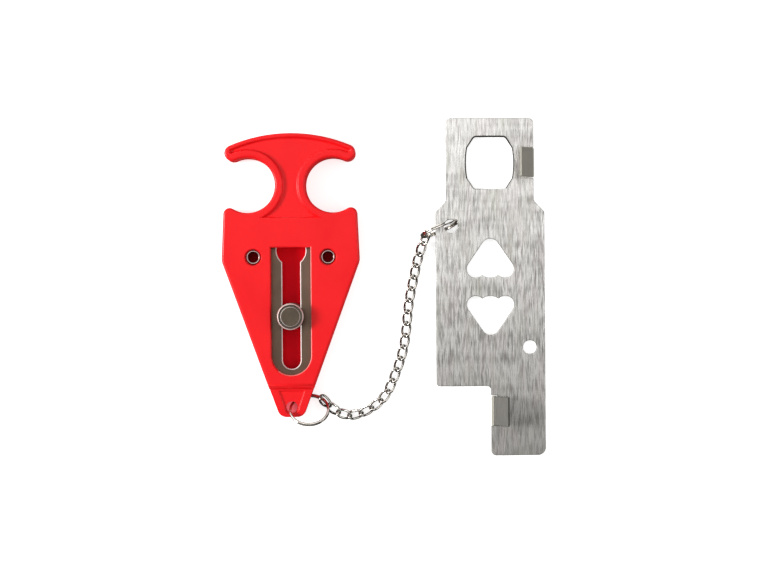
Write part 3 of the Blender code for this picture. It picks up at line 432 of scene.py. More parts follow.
side = math.asin(SLOT_HALF_WIDTH / KEYHOLE_RADIUS)
keyhole = arc((0.0, KEYHOLE_Y), KEYHOLE_RADIUS, math.pi / 2, side - math.pi / 2)
keyhole = placed(mirrored(keyhole + arc((0.0, SLOT_END_Y), SLOT_HALF_WIDTH, 0.0, -math.pi / 2)))
slide_holes = [keyhole, *rivet_holes]
slide = sheet_metal(placed(slide_outline(0.0)), slide_holes, SLIDE_BOTTOM, SLIDE_TOP)
soften(slide, SLIDE_RIM, level=SLIDE_TOP)
# The rounded upper edges are painted pale as highlights.
mark(slide, slanted)
soften(slide, SLIDE_BURR, steps=1, level=SLIDE_BOTTOM)

dark_steel = Finish("dark_steel", metallic=1.0)
rolled = dark_steel.grain((900.0, 90.0, 900.0), detail=4.0)
tarnish = dark_steel.spread(dark_steel.grain((130.0, 90.0, 130.0), detail=3.0), 0.3, 0.7)
dull = dark_steel.between(rolled * 0.4 + tarnish * 0.6, *SLIDE_STEEL)
painted_highlight = dark_steel.painted_light_and_finish()
dark_steel.feed(base_color=dark_steel.between(painted_highlight, dull, PAINTED_HIGHLIGHT_SLIDE))
dark_steel.feed(roughness=rolled * 0.12 + 0.36, metallic=painted_highlight * -1.0 + 1.0)
dark_steel.bump(rolled, 0.00001)
piece("keyhole_plate", slide, dark_steel, "slide_plate", "handle")

# Stud: turned steel, a flange that runs in the back shell's channel, a neck in the slot and a
# chamfered head with a fine turned groove. It goes in through the keyhole, then slides.

STUD_X, STUD_Y = HANDLE_X, HANDLE_Y - 0.0226
NECK_RADIUS = 0.00325
FLANGE_RADIUS = 0.0052
FLANGE_LEVELS = (0.0024, 0.0038)
HEAD_RADIUS = 0.0051
HEAD_BOTTOM, HEAD_TOP = 0.0107, 0.0127
HEAD_CHAMFER = 0.0006
GROOVE_INNER, GROOVE_OUTER = 0.0037, 0.0045
GROOVE_DEPTH = 0.0004
EDGE_BREAK = 0.00008
TURNED_STEPS = 96
HIGHLIGHT_RADIUS = 0.00465
LIP_WIDTH, LIP_SLOPE = 1.2 * EDGE_BREAK, 0.3
GROOVE_SHADE_DEPTH = 0.9 * GROOVE_DEPTH
STUD_STEEL = (0.110, 0.085, 0.062), (0.175, 0.135, 0.100)
# Painted shade for the groove's floor and a pale pinkish painted highlight for the rim.
PAINTED_GROOVE_SHADE, PAINTED_HIGHLIGHT_STUD = (0.120, 0.098, 0.080), (0.80, 0.69, 0.65)


def turned(profile, place):
    """A ring or solid turned about an upright line, from (radius, height) points."""
    mesh = bmesh.new()
    verts = [mesh.verts.new((place[0] + radius, place[1], height)) for radius, height in profile]
    pairs = zip(verts, verts[1:] + verts[:1])
    on_axis = {v for v, (radius, _) in zip(verts, profile) if radius == 0.0}
    edges = [mesh.edges.new(pair) for pair in pairs if not on_axis.issuperset(pair)]
    bmesh.ops.spin(
        mesh, geom=verts + edges, cent=(place[0], place[1], 0.0), axis=(0.0, 0.0, 1.0),
        dvec=(0.0, 0.0, 0.0), angle=FULL_TURN, steps=TURNED_STEPS, use_merge=True,
        use_duplicate=False,
    )
    bmesh.ops.remove_doubles(mesh, verts=mesh.verts, dist=WELD)
    bmesh.ops.recalc_face_normals(mesh, faces=mesh.faces)
    return mesh


stud = turned([
    (0.0, FLANGE_LEVELS[0]),
    (FLANGE_RADIUS - EDGE_BREAK, FLANGE_LEVELS[0]),
    (FLANGE_RADIUS, FLANGE_LEVELS[0] + EDGE_BREAK),
    (FLANGE_RADIUS, FLANGE_LEVELS[1] - EDGE_BREAK),
    (FLANGE_RADIUS - EDGE_BREAK, FLANGE_LEVELS[1]),
    (NECK_RADIUS, FLANGE_LEVELS[1]),
    (NECK_RADIUS, HEAD_BOTTOM),
    (HEAD_RADIUS - EDGE_BREAK, HEAD_BOTTOM),
    (HEAD_RADIUS, HEAD_BOTTOM + EDGE_BREAK),
    (HEAD_RADIUS, HEAD_TOP - HEAD_CHAMFER - EDGE_BREAK),
    (HEAD_RADIUS - EDGE_BREAK, HEAD_TOP - HEAD_CHAMFER + EDGE_BREAK),
    (HEAD_RADIUS - HEAD_CHAMFER + EDGE_BREAK, HEAD_TOP - EDGE_BREAK),
    (GROOVE_OUTER, HEAD_TOP),
    (GROOVE_OUTER - EDGE_BREAK, HEAD_TOP - GROOVE_DEPTH),
    (GROOVE_INNER + EDGE_BREAK, HEAD_TOP - GROOVE_DEPTH),
    (GROOVE_INNER, HEAD_TOP - 2 * EDGE_BREAK),
    (GROOVE_INNER - 2 * EDGE_BREAK, HEAD_TOP),
    (0.0, HEAD_TOP),
], (STUD_X, STUD_Y))


def stud_radius(face):
    return (face.calc_center_median().xy - Vector((STUD_X, STUD_Y))).length


def depth_in_head(face):
    return HEAD_TOP - face.calc_center_median().z


def head_rim(face):
    """The head's outer rim and its chamfer, painted pale as a highlight."""
    return stud_radius(face) > HIGHLIGHT_RADIUS and depth_in_head(face) < HEAD_CHAMFER


def groove_lip(face):
    """The groove's inner lip, painted pale as a highlight too."""
    return abs(stud_radius(face) - GROOVE_INNER) < LIP_WIDTH and face.normal.z > LIP_SLOPE


mark(stud, head_rim)
mark(stud, groove_lip)
# The groove's floor is painted darker as shade.
mark(stud, lambda face: depth_in_head(face) > GROOVE_SHADE_DEPTH, MINUS_MARK)

turned_steel = Finish("turned_steel", metallic=1.0)
from_axis = turned_steel.node("ShaderNodeTexCoord", output="Object")
to_axis = {"Vector": from_axis, "Location": (-STUD_X, -STUD_Y, 0.0)}
from_axis = turned_steel.node("ShaderNodeMapping", None, to_axis)
rings = {"wave_type": "RINGS", "rings_direction": "Z", "wave_profile": "SIN"}
turning = {"Scale": 900.0, "Distortion": 1.5, "Detail": 2.0, "Detail Scale": 0.5}
turning["Vector"] = from_axis
tool_marks = turned_steel.node("ShaderNodeTexWave", rings, turning, output=1)
dulling = turned_steel.spread(turned_steel.grain((260.0, 260.0, 260.0), detail=4.0), 0.3, 0.7)
dull = turned_steel.between(dulling * 0.7 + tool_marks * 0.3, *STUD_STEEL)
painted_highlight = turned_steel.spread(turned_steel.painted_light_and_finish(), 0.0, PLUS_MARK)
groove_shade = turned_steel.spread(turned_steel.painted_light_and_finish(), MINUS_MARK, 0.0, 1.0, 0.0)
dull = turned_steel.between(groove_shade, dull, PAINTED_GROOVE_SHADE)
turned_steel.feed(base_color=turned_steel.between(painted_highlight, dull, PAINTED_HIGHLIGHT_STUD))
turned_steel.feed(roughness=dulling * 0.10 + 0.26, metallic=painted_highlight * -0.6 + 1.0)
turned_steel.bump(tool_marks, 0.000012)
piece("headed_stud", stud, turned_steel, "slide_stud", "stud")

# Front shell: moulded red plastic with a T grip, its sunk field inside a round bead, a window
# over the slide plate and a thin lug with a tapered recess and a hole for the ring.

SEAM = 0.0040
PLATEAU = 0.0090
RECESS_FLOOR = PLATEAU - 0.0012
RIM_ROUND, FLOOR_ROUND = 0.00055, 0.0006
RECESS_NOTCH_RIM, RECESS_TOP_RIM = 0.0030, 0.0017
LEDGE_Y = 0.0151
WINDOW_HALF_WIDTH = 0.0076
WINDOW_ENDS = (0.0037, -0.0450)
STEP_ROUND = 0.0025
LUG_RIM, LUG_WEB = 0.0064, 0.0058
LUG_HOLE_Y = -0.0573
LUG_HOLE_RADIUS = 0.0022
LUG_HOLE_RIM = 0.0005
LUG_RECESS = (0.0048, -0.0512)
LUG_RECESS_ROUND, LUG_ROUND = 0.0002, 0.0004
POCKET_TOP = 0.0055
COUNTERBORE_RADIUS = 0.0032
COUNTERBORE_FLOOR = 0.0073
COUNTERBORE_EDGE = 0.0002
SEAT_GAP = 0.0003
HIGHLIGHT_INSET = 0.0001
HIGHLIGHT_SLOPE, HIGHLIGHT_SIDE = 0.80, 0.1


def grip_field_outline():
    """The sunk field in the grip: inside the top edge, outside both notches, above the ledge."""
    centre_y, radius, tip = grip_top_arc(RECESS_TOP_RIM)
    rim_radius = NOTCH_RADIUS + RECESS_NOTCH_RIM
    ledge_angle = math.pi + math.asin((NOTCH.y - LEDGE_Y) / rim_radius)
    cap_radius = GRIP_TIP_RADIUS - (RECESS_TOP_RIM + RECESS_NOTCH_RIM) / 2
    tip_top = math.atan2(tip.y - centre_y, tip.x)
    cap = polar(tip, GRIP_TIP_RADIUS - RECESS_TOP_RIM - cap_radius, tip_top)
    cap_end = polar(cap, cap_radius, tip_top - math.pi) - NOTCH
    half = arc((0.0, centre_y), radius, math.pi / 2, tip_top)
    half += arc(cap, cap_radius, tip_top, tip_top - math.pi)[1:]
    half += arc(NOTCH, rim_radius, math.atan2(cap_end.y, cap_end.x), ledge_angle)[1:]
    return mirrored(half)


def sunk(outline, floor, top, floor_round):
    """A cutter whose floor edge is round, so that the recess it leaves has a fillet."""
    mesh = prism(outline, floor, top)
    soften(mesh, floor_round, steps=4, level=floor)
    return mesh


def step_bar():
    """The bar that cuts the step down to the lug and leaves its upper edge round."""
    centre = (STEP_Y + STEP_ROUND, PLATEAU - STEP_ROUND)
    profile = [Vector((STEP_Y, LUG_RIM))]
    profile += arc(centre, STEP_ROUND, math.pi, math.pi / 2)
    profile.append(Vector((centre[0], PLATEAU + OVERRUN)))
    profile.append(Vector((LUG_TIP.y - OVERRUN, PLATEAU + OVERRUN)))
    profile.append(Vector((LUG_TIP.y - OVERRUN, LUG_RIM)))
    mesh = prism(profile, -BODY_CORNER.x, BODY_CORNER.x)
    upright = Matrix(((0, 0, 1, HANDLE_X), (1, 0, 0, HANDLE_Y), (0, 1, 0, 0), (0, 0, 0, 1)))
    bmesh.ops.transform(mesh, matrix=upright, verts=mesh.verts)
    return mesh


front = prism(placed(handle_outline(LUG_TIP.y)), SEAM, PLATEAU)
soften(front, EDGE_ROUND, steps=5, level=PLATEAU)
window = [Vector((WINDOW_HALF_WIDTH, WINDOW_ENDS[0]))]
window += arc((0.0, WINDOW_ENDS[1] + WINDOW_HALF_WIDTH), WINDOW_HALF_WIDTH, 0.0, -math.pi / 2)
window = mirrored(window)
lug_hole = circle((HANDLE_X, HANDLE_Y + LUG_HOLE_Y), LUG_HOLE_RADIUS)
lug_recess = [Vector((0.0, LUG_RECESS[1])), Vector(LUG_RECESS)]
lug_recess += arc((0.0, LUG_HOLE_Y), LUG_HOLE_RADIUS + LUG_HOLE_RIM, 0.0, -math.pi / 2)
cut(front, step_bar())
cut(
    front,
    sunk(placed(grip_field_outline()), RECESS_FLOOR, PLATEAU + OVERRUN, FLOOR_ROUND),
    sunk(placed(mirrored(lug_recess)), LUG_WEB, PLATEAU + OVERRUN, LUG_RECESS_ROUND),
    prism(lug_hole, SEAM - OVERRUN, PLATEAU),
    prism(placed(slide_outline(SEAT_GAP)), SEAM - OVERRUN, POCKET_TOP),
    prism(placed(window), SEAM - OVERRUN, PLATEAU + OVERRUN),
)
soften(front, RIM_ROUND, steps=5, level=PLATEAU)


def window_rim(face):
    """The window's right and lower rim, painted pale pink as a highlight."""
    middle = face.calc_center_median()
    across, up = middle.x - HANDLE_X, middle.y - HANDLE_Y
    past_round = min(0.0, up - WINDOW_ENDS[1] - WINDOW_HALF_WIDTH)
    outside = max(abs(across), math.hypot(across, past_round)) - WINDOW_HALF_WIDTH
    on_rim = -HIGHLIGHT_INSET < outside < RIM_ROUND
    in_length = WINDOW_ENDS[1] - RIM_ROUND < up < WINDOW_ENDS[0]
    at_side = face.normal.y - face.normal.x > HIGHLIGHT_SIDE
    return on_rim and in_length and at_side and slanted(face, HIGHLIGHT_SLOPE)


# The window's right and lower rim is painted pale pink as a highlight.
mark(front, window_rim, MINUS_MARK)
counterbores = [circle(place, COUNTERBORE_RADIUS) for place in rivet_places]
cut(
    front,
    *[prism(hole, SEAM - OVERRUN, PLATEAU + OVERRUN) for hole in rivet_holes],
    *[prism(bore, COUNTERBORE_FLOOR, PLATEAU + OVERRUN) for bore in counterbores],
)
soften(front, COUNTERBORE_EDGE, level=PLATEAU)
soften(front, LUG_ROUND, level=LUG_RIM)
soften(front, MOULD_EDGE, level=SEAM)
piece("front_shell", front, shell_red, "handle_front", "handle")

# Tubular rivets: plated steel tubes through the front shell and the slide plate, pressed into
# the back shell's pockets and rolled over in the counterbores, so that each is a ring round a bore.

RIVET_BORE, RIVET_BARREL, RIVET_FLANGE = 0.00185, 0.00215, 0.0028
RIVET_BOTTOM, RIVET_TOP = 0.0015, 0.0078
LIP_HEIGHT = 0.00045
LIP_STEPS = 12
CREST_RADII = (0.0022, 0.0025)
CREST_SLOPE = 0.8
# The plating's dark reddish tone is painted shade with a painted red reflection; its crest gets a
# painted highlight.
PAINTED_SHADE_RIVET = (0.10, 0.050, 0.045), (0.22, 0.130, 0.115)
PAINTED_HIGHLIGHT_RIVET = (0.66, 0.48, 0.45)


def rolled_lip(level, height, first, last):
    """Half a rolled lip: an arched section from one radius to another."""
    middle, reach = (first + last) / 2, (last - first) / 2
    angles = [math.pi * i / LIP_STEPS for i in range(LIP_STEPS + 1)]
    return [(middle - reach * math.cos(a), level + height * math.sin(a)) for a in angles]


def on_crest(face, place):
    """The crest of a rivet's rolled lip, painted pale as a highlight."""
    radius = (face.calc_center_median().xy - place).length
    return face.normal.z > CREST_SLOPE and CREST_RADII[0] < radius < CREST_RADII[1]


rivet_profile = rolled_lip(RIVET_TOP - LIP_HEIGHT, LIP_HEIGHT, RIVET_BORE, RIVET_FLANGE)
rivet_profile.append((RIVET_BARREL, RIVET_TOP - LIP_HEIGHT))
rivet_profile += [(RIVET_BARREL, RIVET_BOTTOM), (RIVET_BORE, RIVET_BOTTOM)]

plating = Finish("rivet_plating", metallic=1.0)
scuffs = plating.grain((1500.0, 1500.0, 700.0), detail=3.0)
dull = plating.between(scuffs, *PAINTED_SHADE_RIVET)
plating.feed(base_color=plating.between(plating.painted_light_and_finish(), dull, PAINTED_HIGHLIGHT_RIVET))
plating.feed(roughness=scuffs * 0.12 + 0.16)
plating.bump(scuffs, 0.000006)
for hand, place in zip(("left", "right"), rivet_places):
    rivet = turned(rivet_profile, place)
    mark(rivet, lambda face: on_crest(face, place))
    piece(f"tube_rivet_{hand}", rivet, plating, f"rivet_{hand}", "handle")

# Handle ring: a split ring of flat nickelled wire, two turns side by side that step over at
# one place. It goes up through the lug's hole and leans on the lug at half a right angle.

WIRE_RADIAL, WIRE_AXIAL = 0.0009, 0.0006
RING_RADIUS = 0.00725
TURN_PITCH = 0.0007
JOG = math.radians(36)
WIRE_END = math.radians(14)
WIRE_ROUND = 0.0002
RING_STEPS = 120
JOG_STEPS = 16
HANDLE_RING_JOG = math.radians(150)
NICKEL = (0.50, 0.47, 0.42), (0.72, 0.69, 0.64)


def frame_from(origin, x_axis, z_axis):
    """A world frame from its origin, its X axis and a Z axis to be squared up."""
    x_axis = x_axis.normalized()
    z_axis = (z_axis - x_axis * z_axis.dot(x_axis)).normalized()
    y_axis = z_axis.cross(x_axis)
    rows = [(x_axis[i], y_axis[i], z_axis[i], origin[i]) for i in range(3)]
    return Matrix([*rows, (0.0, 0.0, 0.0, 1.0)])


def rounded(corners):
    """A closed outline from (x, y, radius) corners; radius 0 keeps the corner sharp."""
    outline = []
    for i, (x, y, radius) in enumerate(corners):
        if radius:
            after = corners[(i + 1) % len(corners)][:2]
            outline += fillet(corners[i - 1][:2], (x, y), after, radius)
        else:
            outline.append(Vector((x, y)))
    return outline


def split_ring(basis, turn):
    """Flat wire spun through nearly two turns; turn is the bearing of the step between them."""
    mesh = bmesh.new()
    x, y = WIRE_RADIAL / 2, WIRE_AXIAL / 2
    section = rounded([(h * x, v * y, WIRE_ROUND) for h, v in ((-1, -1), (1, -1), (1, 1), (-1, 1))])
    start = [(RING_RADIUS + p.x, 0.0, p.y - TURN_PITCH / 2) for p in section]
    last = [mesh.faces.new([mesh.verts.new(place) for place in start])]
    turned_on = Matrix.Rotation(turn + JOG / 2 + WIRE_END, 3, "Z")
    bmesh.ops.rotate(mesh, verts=mesh.verts, cent=(0.0, 0.0, 0.0), matrix=turned_on)
    climb = [i / JOG_STEPS for i in range(JOG_STEPS + 1)]
    climb = [TURN_PITCH * share * share * (3 - 2 * share) for share in climb]
    level_run = (FULL_TURN - JOG - WIRE_END, 0.0, RING_STEPS)
    jog_runs = [(JOG / JOG_STEPS, high - low, 1) for low, high in zip(climb, climb[1:])]
    for angle, rise, steps in [level_run, *jog_runs, level_run]:
        spun = bmesh.ops.spin(
            mesh, geom=last, cent=(0.0, 0.0, 0.0), axis=(0.0, 0.0, 1.0), dvec=(0.0, 0.0, rise),
            angle=angle, steps=steps, use_merge=False, use_duplicate=False,
        )["geom_last"]
        # A face that is left between two runs would lie inside the wire.
        if len(mesh.faces) > (RING_STEPS + 1) * len(section) + 2:
            bmesh.ops.delete(mesh, geom=last, context="FACES_ONLY")
        last = [g for g in spun if isinstance(g, bmesh.types.BMFace)]
    bmesh.ops.transform(mesh, matrix=basis, verts=mesh.verts)
    bmesh.ops.recalc_face_normals(mesh, faces=mesh.faces)
    return mesh


def joint_place(name):
    return Vector(joints[name]["pos_m"])


def ring_frame(name, bearing):
    """The frame of a ring about a joint's axis, with its X axis level along a bearing."""
    level = Vector((math.cos(bearing), math.sin(bearing), 0.0))
    return frame_from(joint_place(name), level, Vector(joints[name]["axis"]))


nickel = Finish("nickel", metallic=1.0)
haze = nickel.grain((1200.0, 1200.0, 1200.0), detail=4.0)
tarnish = nickel.spread(nickel.grain((380.0, 380.0, 380.0), detail=2.0), 0.35, 0.7)
nickel.feed(base_color=nickel.between(tarnish * 0.7 + haze * 0.3, *NICKEL))
nickel.feed(roughness=haze * 0.08 + 0.08)
nickel.bump(haze, 0.000008)

near_frame = ring_frame("handle_ring_turn", 0.0)
near_ring = split_ring(near_frame, HANDLE_RING_JOG)
piece("lug_ring", near_ring, nickel, "handle_ring", "handle_ring")

# Chain: twenty-one oval links bent from round nickelled wire and twisted by a quarter turn, so
# that the chain lies flat. The first hangs on the handle ring and the last on the plate ring.

LINK_COUNT = 21
LINK_WIRE_RADIUS = 0.00045
LINK_HALF_WIDTH = 0.0015
LINK_TWIST = math.radians(45)
LINK_OVER_LINK = 0.000605
LINK_OVER_RING = 0.002155
CHAIN_START = math.radians(42)
CHAIN_END = math.radians(218)
LINK_SIDES = 8
LINK_END_SKIP = 4
LINK_WIRE_STEPS = 4
PLATE_RING_BEARING = math.radians(22)


def roll_for(ring, bearing, basis, hint):
    """The roll that turns a link's end square to a ring's wire, on hint's side."""
    wire = ring.to_3x3() @ Vector((-math.sin(bearing), math.cos(bearing), 0.0))
    local = basis.to_3x3().inverted() @ wire
    roll = math.atan2(-local.y, local.z)
    return roll + math.pi * round((hint - roll) / math.pi)


def link(basis, pitch, rolls, overs):
    """Round wire round an oval that twists from one end's roll to the other's."""
    first_x = LINK_HALF_WIDTH - overs[0]
    last_x = pitch + overs[1] - LINK_HALF_WIDTH
    oval = arc((last_x, 0.0), LINK_HALF_WIDTH, -math.pi / 2, math.pi / 2)[::LINK_END_SKIP]
    sides = [i / LINK_SIDES for i in range(1, LINK_SIDES)]
    oval += [Vector((last_x + (first_x - last_x) * share, LINK_HALF_WIDTH)) for share in sides]
    oval += arc((first_x, 0.0), LINK_HALF_WIDTH, math.pi / 2, 1.5 * math.pi)[::LINK_END_SKIP]
    oval += [Vector((first_x + (last_x - first_x) * share, -LINK_HALF_WIDTH)) for share in sides]
    curve = bpy.data.curves.new("bent_wire", "CURVE")
    curve.dimensions = "3D"
    curve.bevel_depth = LINK_WIRE_RADIUS
    curve.bevel_resolution = LINK_WIRE_STEPS
    spline = curve.splines.new("POLY")
    spline.points.add(len(oval) - 1)
    spline.use_cyclic_u = True
    for point, flat in zip(spline.points, oval):
        roll = rolls[0] + (rolls[1] - rolls[0]) * flat.x / pitch
        twisted = Vector((flat.x, flat.y * math.cos(roll), flat.y * math.sin(roll)))
        point.co = (*(basis @ twisted), 1.0)
    mesh = bmesh.new()
    fill_from(mesh, added("bent_wire", curve))
    bpy.data.curves.remove(curve)
    bmesh.ops.remove_doubles(mesh, verts=mesh.verts, dist=WELD)
    bmesh.ops.recalc_face_normals(mesh, faces=mesh.faces)
    return mesh


far_frame = ring_frame("strike_plate_turn", PLATE_RING_BEARING)
link_nodes = [f"chain_link_{i + 1:02d}" for i in range(LINK_COUNT)]
link_joints = [f"{node}_{('swing', 'lift')[i % 2]}" for i, node in enumerate(link_nodes)]
link_places = [joint_place(name) for name in link_joints + ["plate_ring_lift"]]
for i, (here, there) in enumerate(zip(link_places, link_places[1:])):
    place = frame_from(here, there - here, Vector((0.0, 0.0, 1.0)))
    rolls, overs = [-LINK_TWIST, LINK_TWIST], [LINK_OVER_LINK, LINK_OVER_LINK]
    if i == 0:
        rolls[0] = roll_for(near_frame, CHAIN_START, place, rolls[0])
        overs[0] = LINK_OVER_RING
    if i == LINK_COUNT - 1:
        rolls[1] = roll_for(far_frame, CHAIN_END, place, rolls[1])
        overs[1] = LINK_OVER_RING
    bent = link(place, (there - here).length, rolls, overs)
    piece(f"oval_{i + 1:02d}", bent, nickel, link_nodes[i], link_nodes[i])

# Plate ring: the same split ring again. It stands on the table, through the strike plate's
# upper round hole and round the plate's left edge.

PLATE_RING_JOG = math.radians(40)

far_ring = split_ring(far_frame, PLATE_RING_JOG)
piece("edge_ring", far_ring, nickel, "plate_ring", "plate_ring")

# Strike plate: brushed stainless sheet, cut out with a latch opening, two hearts and two round
# holes, with two claws bent up and in from its edges. At its left it leans on the plate ring.

PLATE_RIGHT_X = 0.0619
PLATE_LIFT, LIFT_REACH = 0.00168288, 0.03614
PLATE_THICKNESS = 0.0012
PLATE_HALF_WIDTH, NECK_HALF_WIDTH = 0.02104, 0.01694
PLATE_END_Y = 0.0650
SHOULDER_TOP_Y, SHOULDER_BOTTOM_Y = 0.0331, 0.0288
FOOT_Y = -0.0382
LEG_X = 0.0
TOP_CORNER, SHOULDER_CORNER, RIGHT_CORNER = 0.0020, 0.0016, 0.0030
LEG_CORNER, FOOT_CORNER, LEFT_CORNER = 0.0018, 0.0017, 0.0013
LATCH_Y = 0.0477
LATCH_REACH = (0.0102, 0.0110)
LATCH_BOW_STEPS = 12
WORN_REACH, WORN_RIM, PLATE_RIM = 0.0085, 0.00055, 0.00034
EDGE_SHADE_SLOPE = 0.30
PIN_HOLE = (0.0151, 0.02335)
PIN_HOLE_RADIUS = 0.00265
CLAW_LENGTH, CLAW_REACH = 0.0112, 0.0070
CLAW_BEND_ANGLE = math.radians(135)
CLAW_BEND_RADIUS, CLAW_RELIEF = 0.0008, 0.0002
CLAW_BEND_STEPS = 12
UPPER_CLAW_MARK = -1.35
BRUSHED = (0.32, 0.305, 0.285), (0.98, 0.96, 0.93)
# A plain mill finish for the underside, which on the bent claws is also painted shade.
MILLED_AND_SHADED = (0.37, 0.355, 0.300), (0.45, 0.432, 0.368)
LOWER_SHADE_STEEL = (0.27, 0.26, 0.24)
BLUSH, OLIVE = (0.66, 0.58, 0.58), (0.60, 0.60, 0.51)
# Painted shade for the claws and for the latch opening's edge.
CLAW_SHADE, LATCH_EDGE_SHADE = (0.085, 0.080, 0.066), (0.03, 0.028, 0.025)


def latch_outline():
    """Latch opening: flat ends, canted corners and slightly bowed sides."""
    half_width, half_height, corner = 0.00915, 0.00995, 0.0016
    shoulder = Vector((0.00865, 0.0058))
    bow = half_width - shoulder.x
    bow_radius = (shoulder.y ** 2 + bow ** 2) / (2 * bow)
    bow_angle = math.asin(shoulder.y / bow_radius)
    end = Vector((0.0059, half_height))
    half = [Vector((0.0, half_height))]
    half += fillet((0.0, half_height), end, shoulder, corner)
    for i in range(LATCH_BOW_STEPS + 1):
        bearing = bow_angle * (1 - 2 * i / LATCH_BOW_STEPS)
        half.append(polar((half_width - bow_radius, 0.0), bow_radius, bearing))
    half += fillet((shoulder.x, -shoulder.y), (end.x, -end.y), (0.0, -half_height), corner)
    half.append(Vector((0.0, -half_height)))
    return [Vector((p.x, p.y + LATCH_Y)) for p in mirrored(half)]


def heart_outline(direction):
    """Heart opening with three scallops; direction 1 points up, -1 points down."""
    apex_y, apex_radius = 0.01855, 0.0035
    lobe, lobe_radius, cusp_x = Vector((0.0057, -0.01165)), 0.0034, 0.0031
    apex = Vector((0.0, -apex_radius))
    run = lobe - apex
    side = math.atan2(run.x, -run.y) + math.asin((apex_radius - lobe_radius) / run.length)
    cusp_angle = math.pi + math.acos((lobe.x - cusp_x) / lobe_radius)
    cusp = polar(lobe, lobe_radius, cusp_angle)
    sagitta = cusp.y - lobe.y + lobe_radius
    middle_radius = (cusp.x ** 2 + sagitta ** 2) / (2 * sagitta)
    middle = Vector((0.0, lobe.y - lobe_radius + middle_radius))
    half = arc(apex, apex_radius, math.pi / 2, side)
    half += arc(lobe, lobe_radius, side, cusp_angle - FULL_TURN)
    half += arc(middle, middle_radius, math.atan2(cusp.y - middle.y, cusp.x), -math.pi / 2)[1:]
    return [Vector((p.x, direction * (p.y + apex_y))) for p in mirrored(half)]


def claw_notch(edge_x, centre_y, sign):
    """The cut in an edge that frees a claw, listed from its far end; sign is the edge's side."""
    depth = PLATE_THICKNESS + CLAW_BEND_RADIUS
    half = CLAW_LENGTH / 2
    deep, wide = depth + CLAW_RELIEF, half + CLAW_RELIEF
    cuts = [(0.0, wide), (deep, wide), (deep, half), (depth, half)]
    cuts += [(inset, -reach) for inset, reach in reversed(cuts)]
    return [(edge_x - sign * inset, centre_y + reach, 0.0) for inset, reach in cuts]


def bend_claw(mesh, edge_x, centre_y, sign, value):
    """Bend a claw's free edge up and back over the plate, draw it out and mark it with a value."""
    root_x = edge_x - sign * (PLATE_THICKNESS + CLAW_BEND_RADIUS)
    middle = Vector((root_x, centre_y, PLATE_THICKNESS / 2))
    root = min(mesh.faces, key=lambda f: (f.calc_center_median() - middle).length)
    sheet = set(mesh.faces)
    spun = bmesh.ops.spin(
        mesh, geom=[root], cent=(root_x, centre_y, PLATE_THICKNESS + CLAW_BEND_RADIUS),
        axis=(0.0, -sign, 0.0), dvec=(0.0, 0.0, 0.0), angle=CLAW_BEND_ANGLE, steps=CLAW_BEND_STEPS,
        use_merge=False, use_duplicate=False,
    )["geom_last"]
    mark(mesh, lambda face: face not in sheet, MINUS_MARK)
    curved = set(mesh.faces)
    bent = [g for g in spun if isinstance(g, bmesh.types.BMFace)]
    way = Vector((sign * math.cos(CLAW_BEND_ANGLE), 0.0, math.sin(CLAW_BEND_ANGLE)))
    draw_out(mesh, bent, way * CLAW_REACH)
    bmesh.ops.delete(mesh, geom=[root, *bent], context="FACES_ONLY")
    mark(mesh, lambda face: face not in curved, value)


plate_corners = [
    (-NECK_HALF_WIDTH, PLATE_END_Y, TOP_CORNER),
    (NECK_HALF_WIDTH, PLATE_END_Y, TOP_CORNER),
    *claw_notch(NECK_HALF_WIDTH, LATCH_Y, 1),
    (NECK_HALF_WIDTH, SHOULDER_TOP_Y, SHOULDER_CORNER),
    (PLATE_HALF_WIDTH, SHOULDER_BOTTOM_Y, SHOULDER_CORNER),
    (PLATE_HALF_WIDTH, -PLATE_END_Y, RIGHT_CORNER),
    (LEG_X, -PLATE_END_Y, LEG_CORNER),
    *reversed(claw_notch(LEG_X, -LATCH_Y, -1)),
    (LEG_X, FOOT_Y, FOOT_CORNER),
    (-PLATE_HALF_WIDTH, FOOT_Y, LEFT_CORNER),
    (-PLATE_HALF_WIDTH, SHOULDER_BOTTOM_Y, SHOULDER_CORNER),
    (-NECK_HALF_WIDTH, SHOULDER_TOP_Y, SHOULDER_CORNER),
]
openings = [latch_outline(), heart_outline(1), heart_outline(-1)]
for sign in (-1, 1):
    openings.append(circle((sign * PIN_HOLE[0], -sign * PIN_HOLE[1]), PIN_HOLE_RADIUS))
plate = sheet_metal(rounded(plate_corners), openings, 0.0, PLATE_THICKNESS)
mark(plate, lambda face: face.normal.z < -LEVEL_SLOPE, MINUS_MARK)
# The claws' faces are painted dark as shade, the upper one partly and the lower one fully.
bend_claw(plate, NECK_HALF_WIDTH, LATCH_Y, 1, UPPER_CLAW_MARK)
bend_claw(plate, LEG_X, -LATCH_Y, -1, CLAW_SHADE_MARK)
bmesh.ops.recalc_face_normals(plate, faces=plate.faces)


def by_latch(point):
    return abs(point.x) < LATCH_REACH[0] and abs(point.y - LATCH_Y) < LATCH_REACH[1]


def worn_side(point):
    """The upper and left sides of the latch opening, whose edge is worn wider."""
    return by_latch(point) and (point.x < 0.0 or point.y > LATCH_Y + WORN_REACH)


def latch_rim(face):
    """The latch opening's edge on all its sides but the lower one, painted dark as shade."""
    not_below = face.normal.y < EDGE_SHADE_SLOPE
    return slanted(face) and not_below and by_latch(face.calc_center_median())


soften(plate, WORN_RIM, steps=2, level=PLATE_THICKNESS, within=worn_side)
soften(plate, PLATE_RIM, steps=2)
mark(plate, latch_rim, EDGE_SHADE_MARK)
lean = Matrix.Rotation(math.asin(PLATE_LIFT / LIFT_REACH), 4, "Y")
lean = Matrix.Translation((PLATE_RIGHT_X, 0.0, 0.0)) @ lean
lean = lean @ Matrix.Translation((-PLATE_HALF_WIDTH, 0.0, 0.0))
bmesh.ops.transform(plate, matrix=lean, verts=plate.verts)

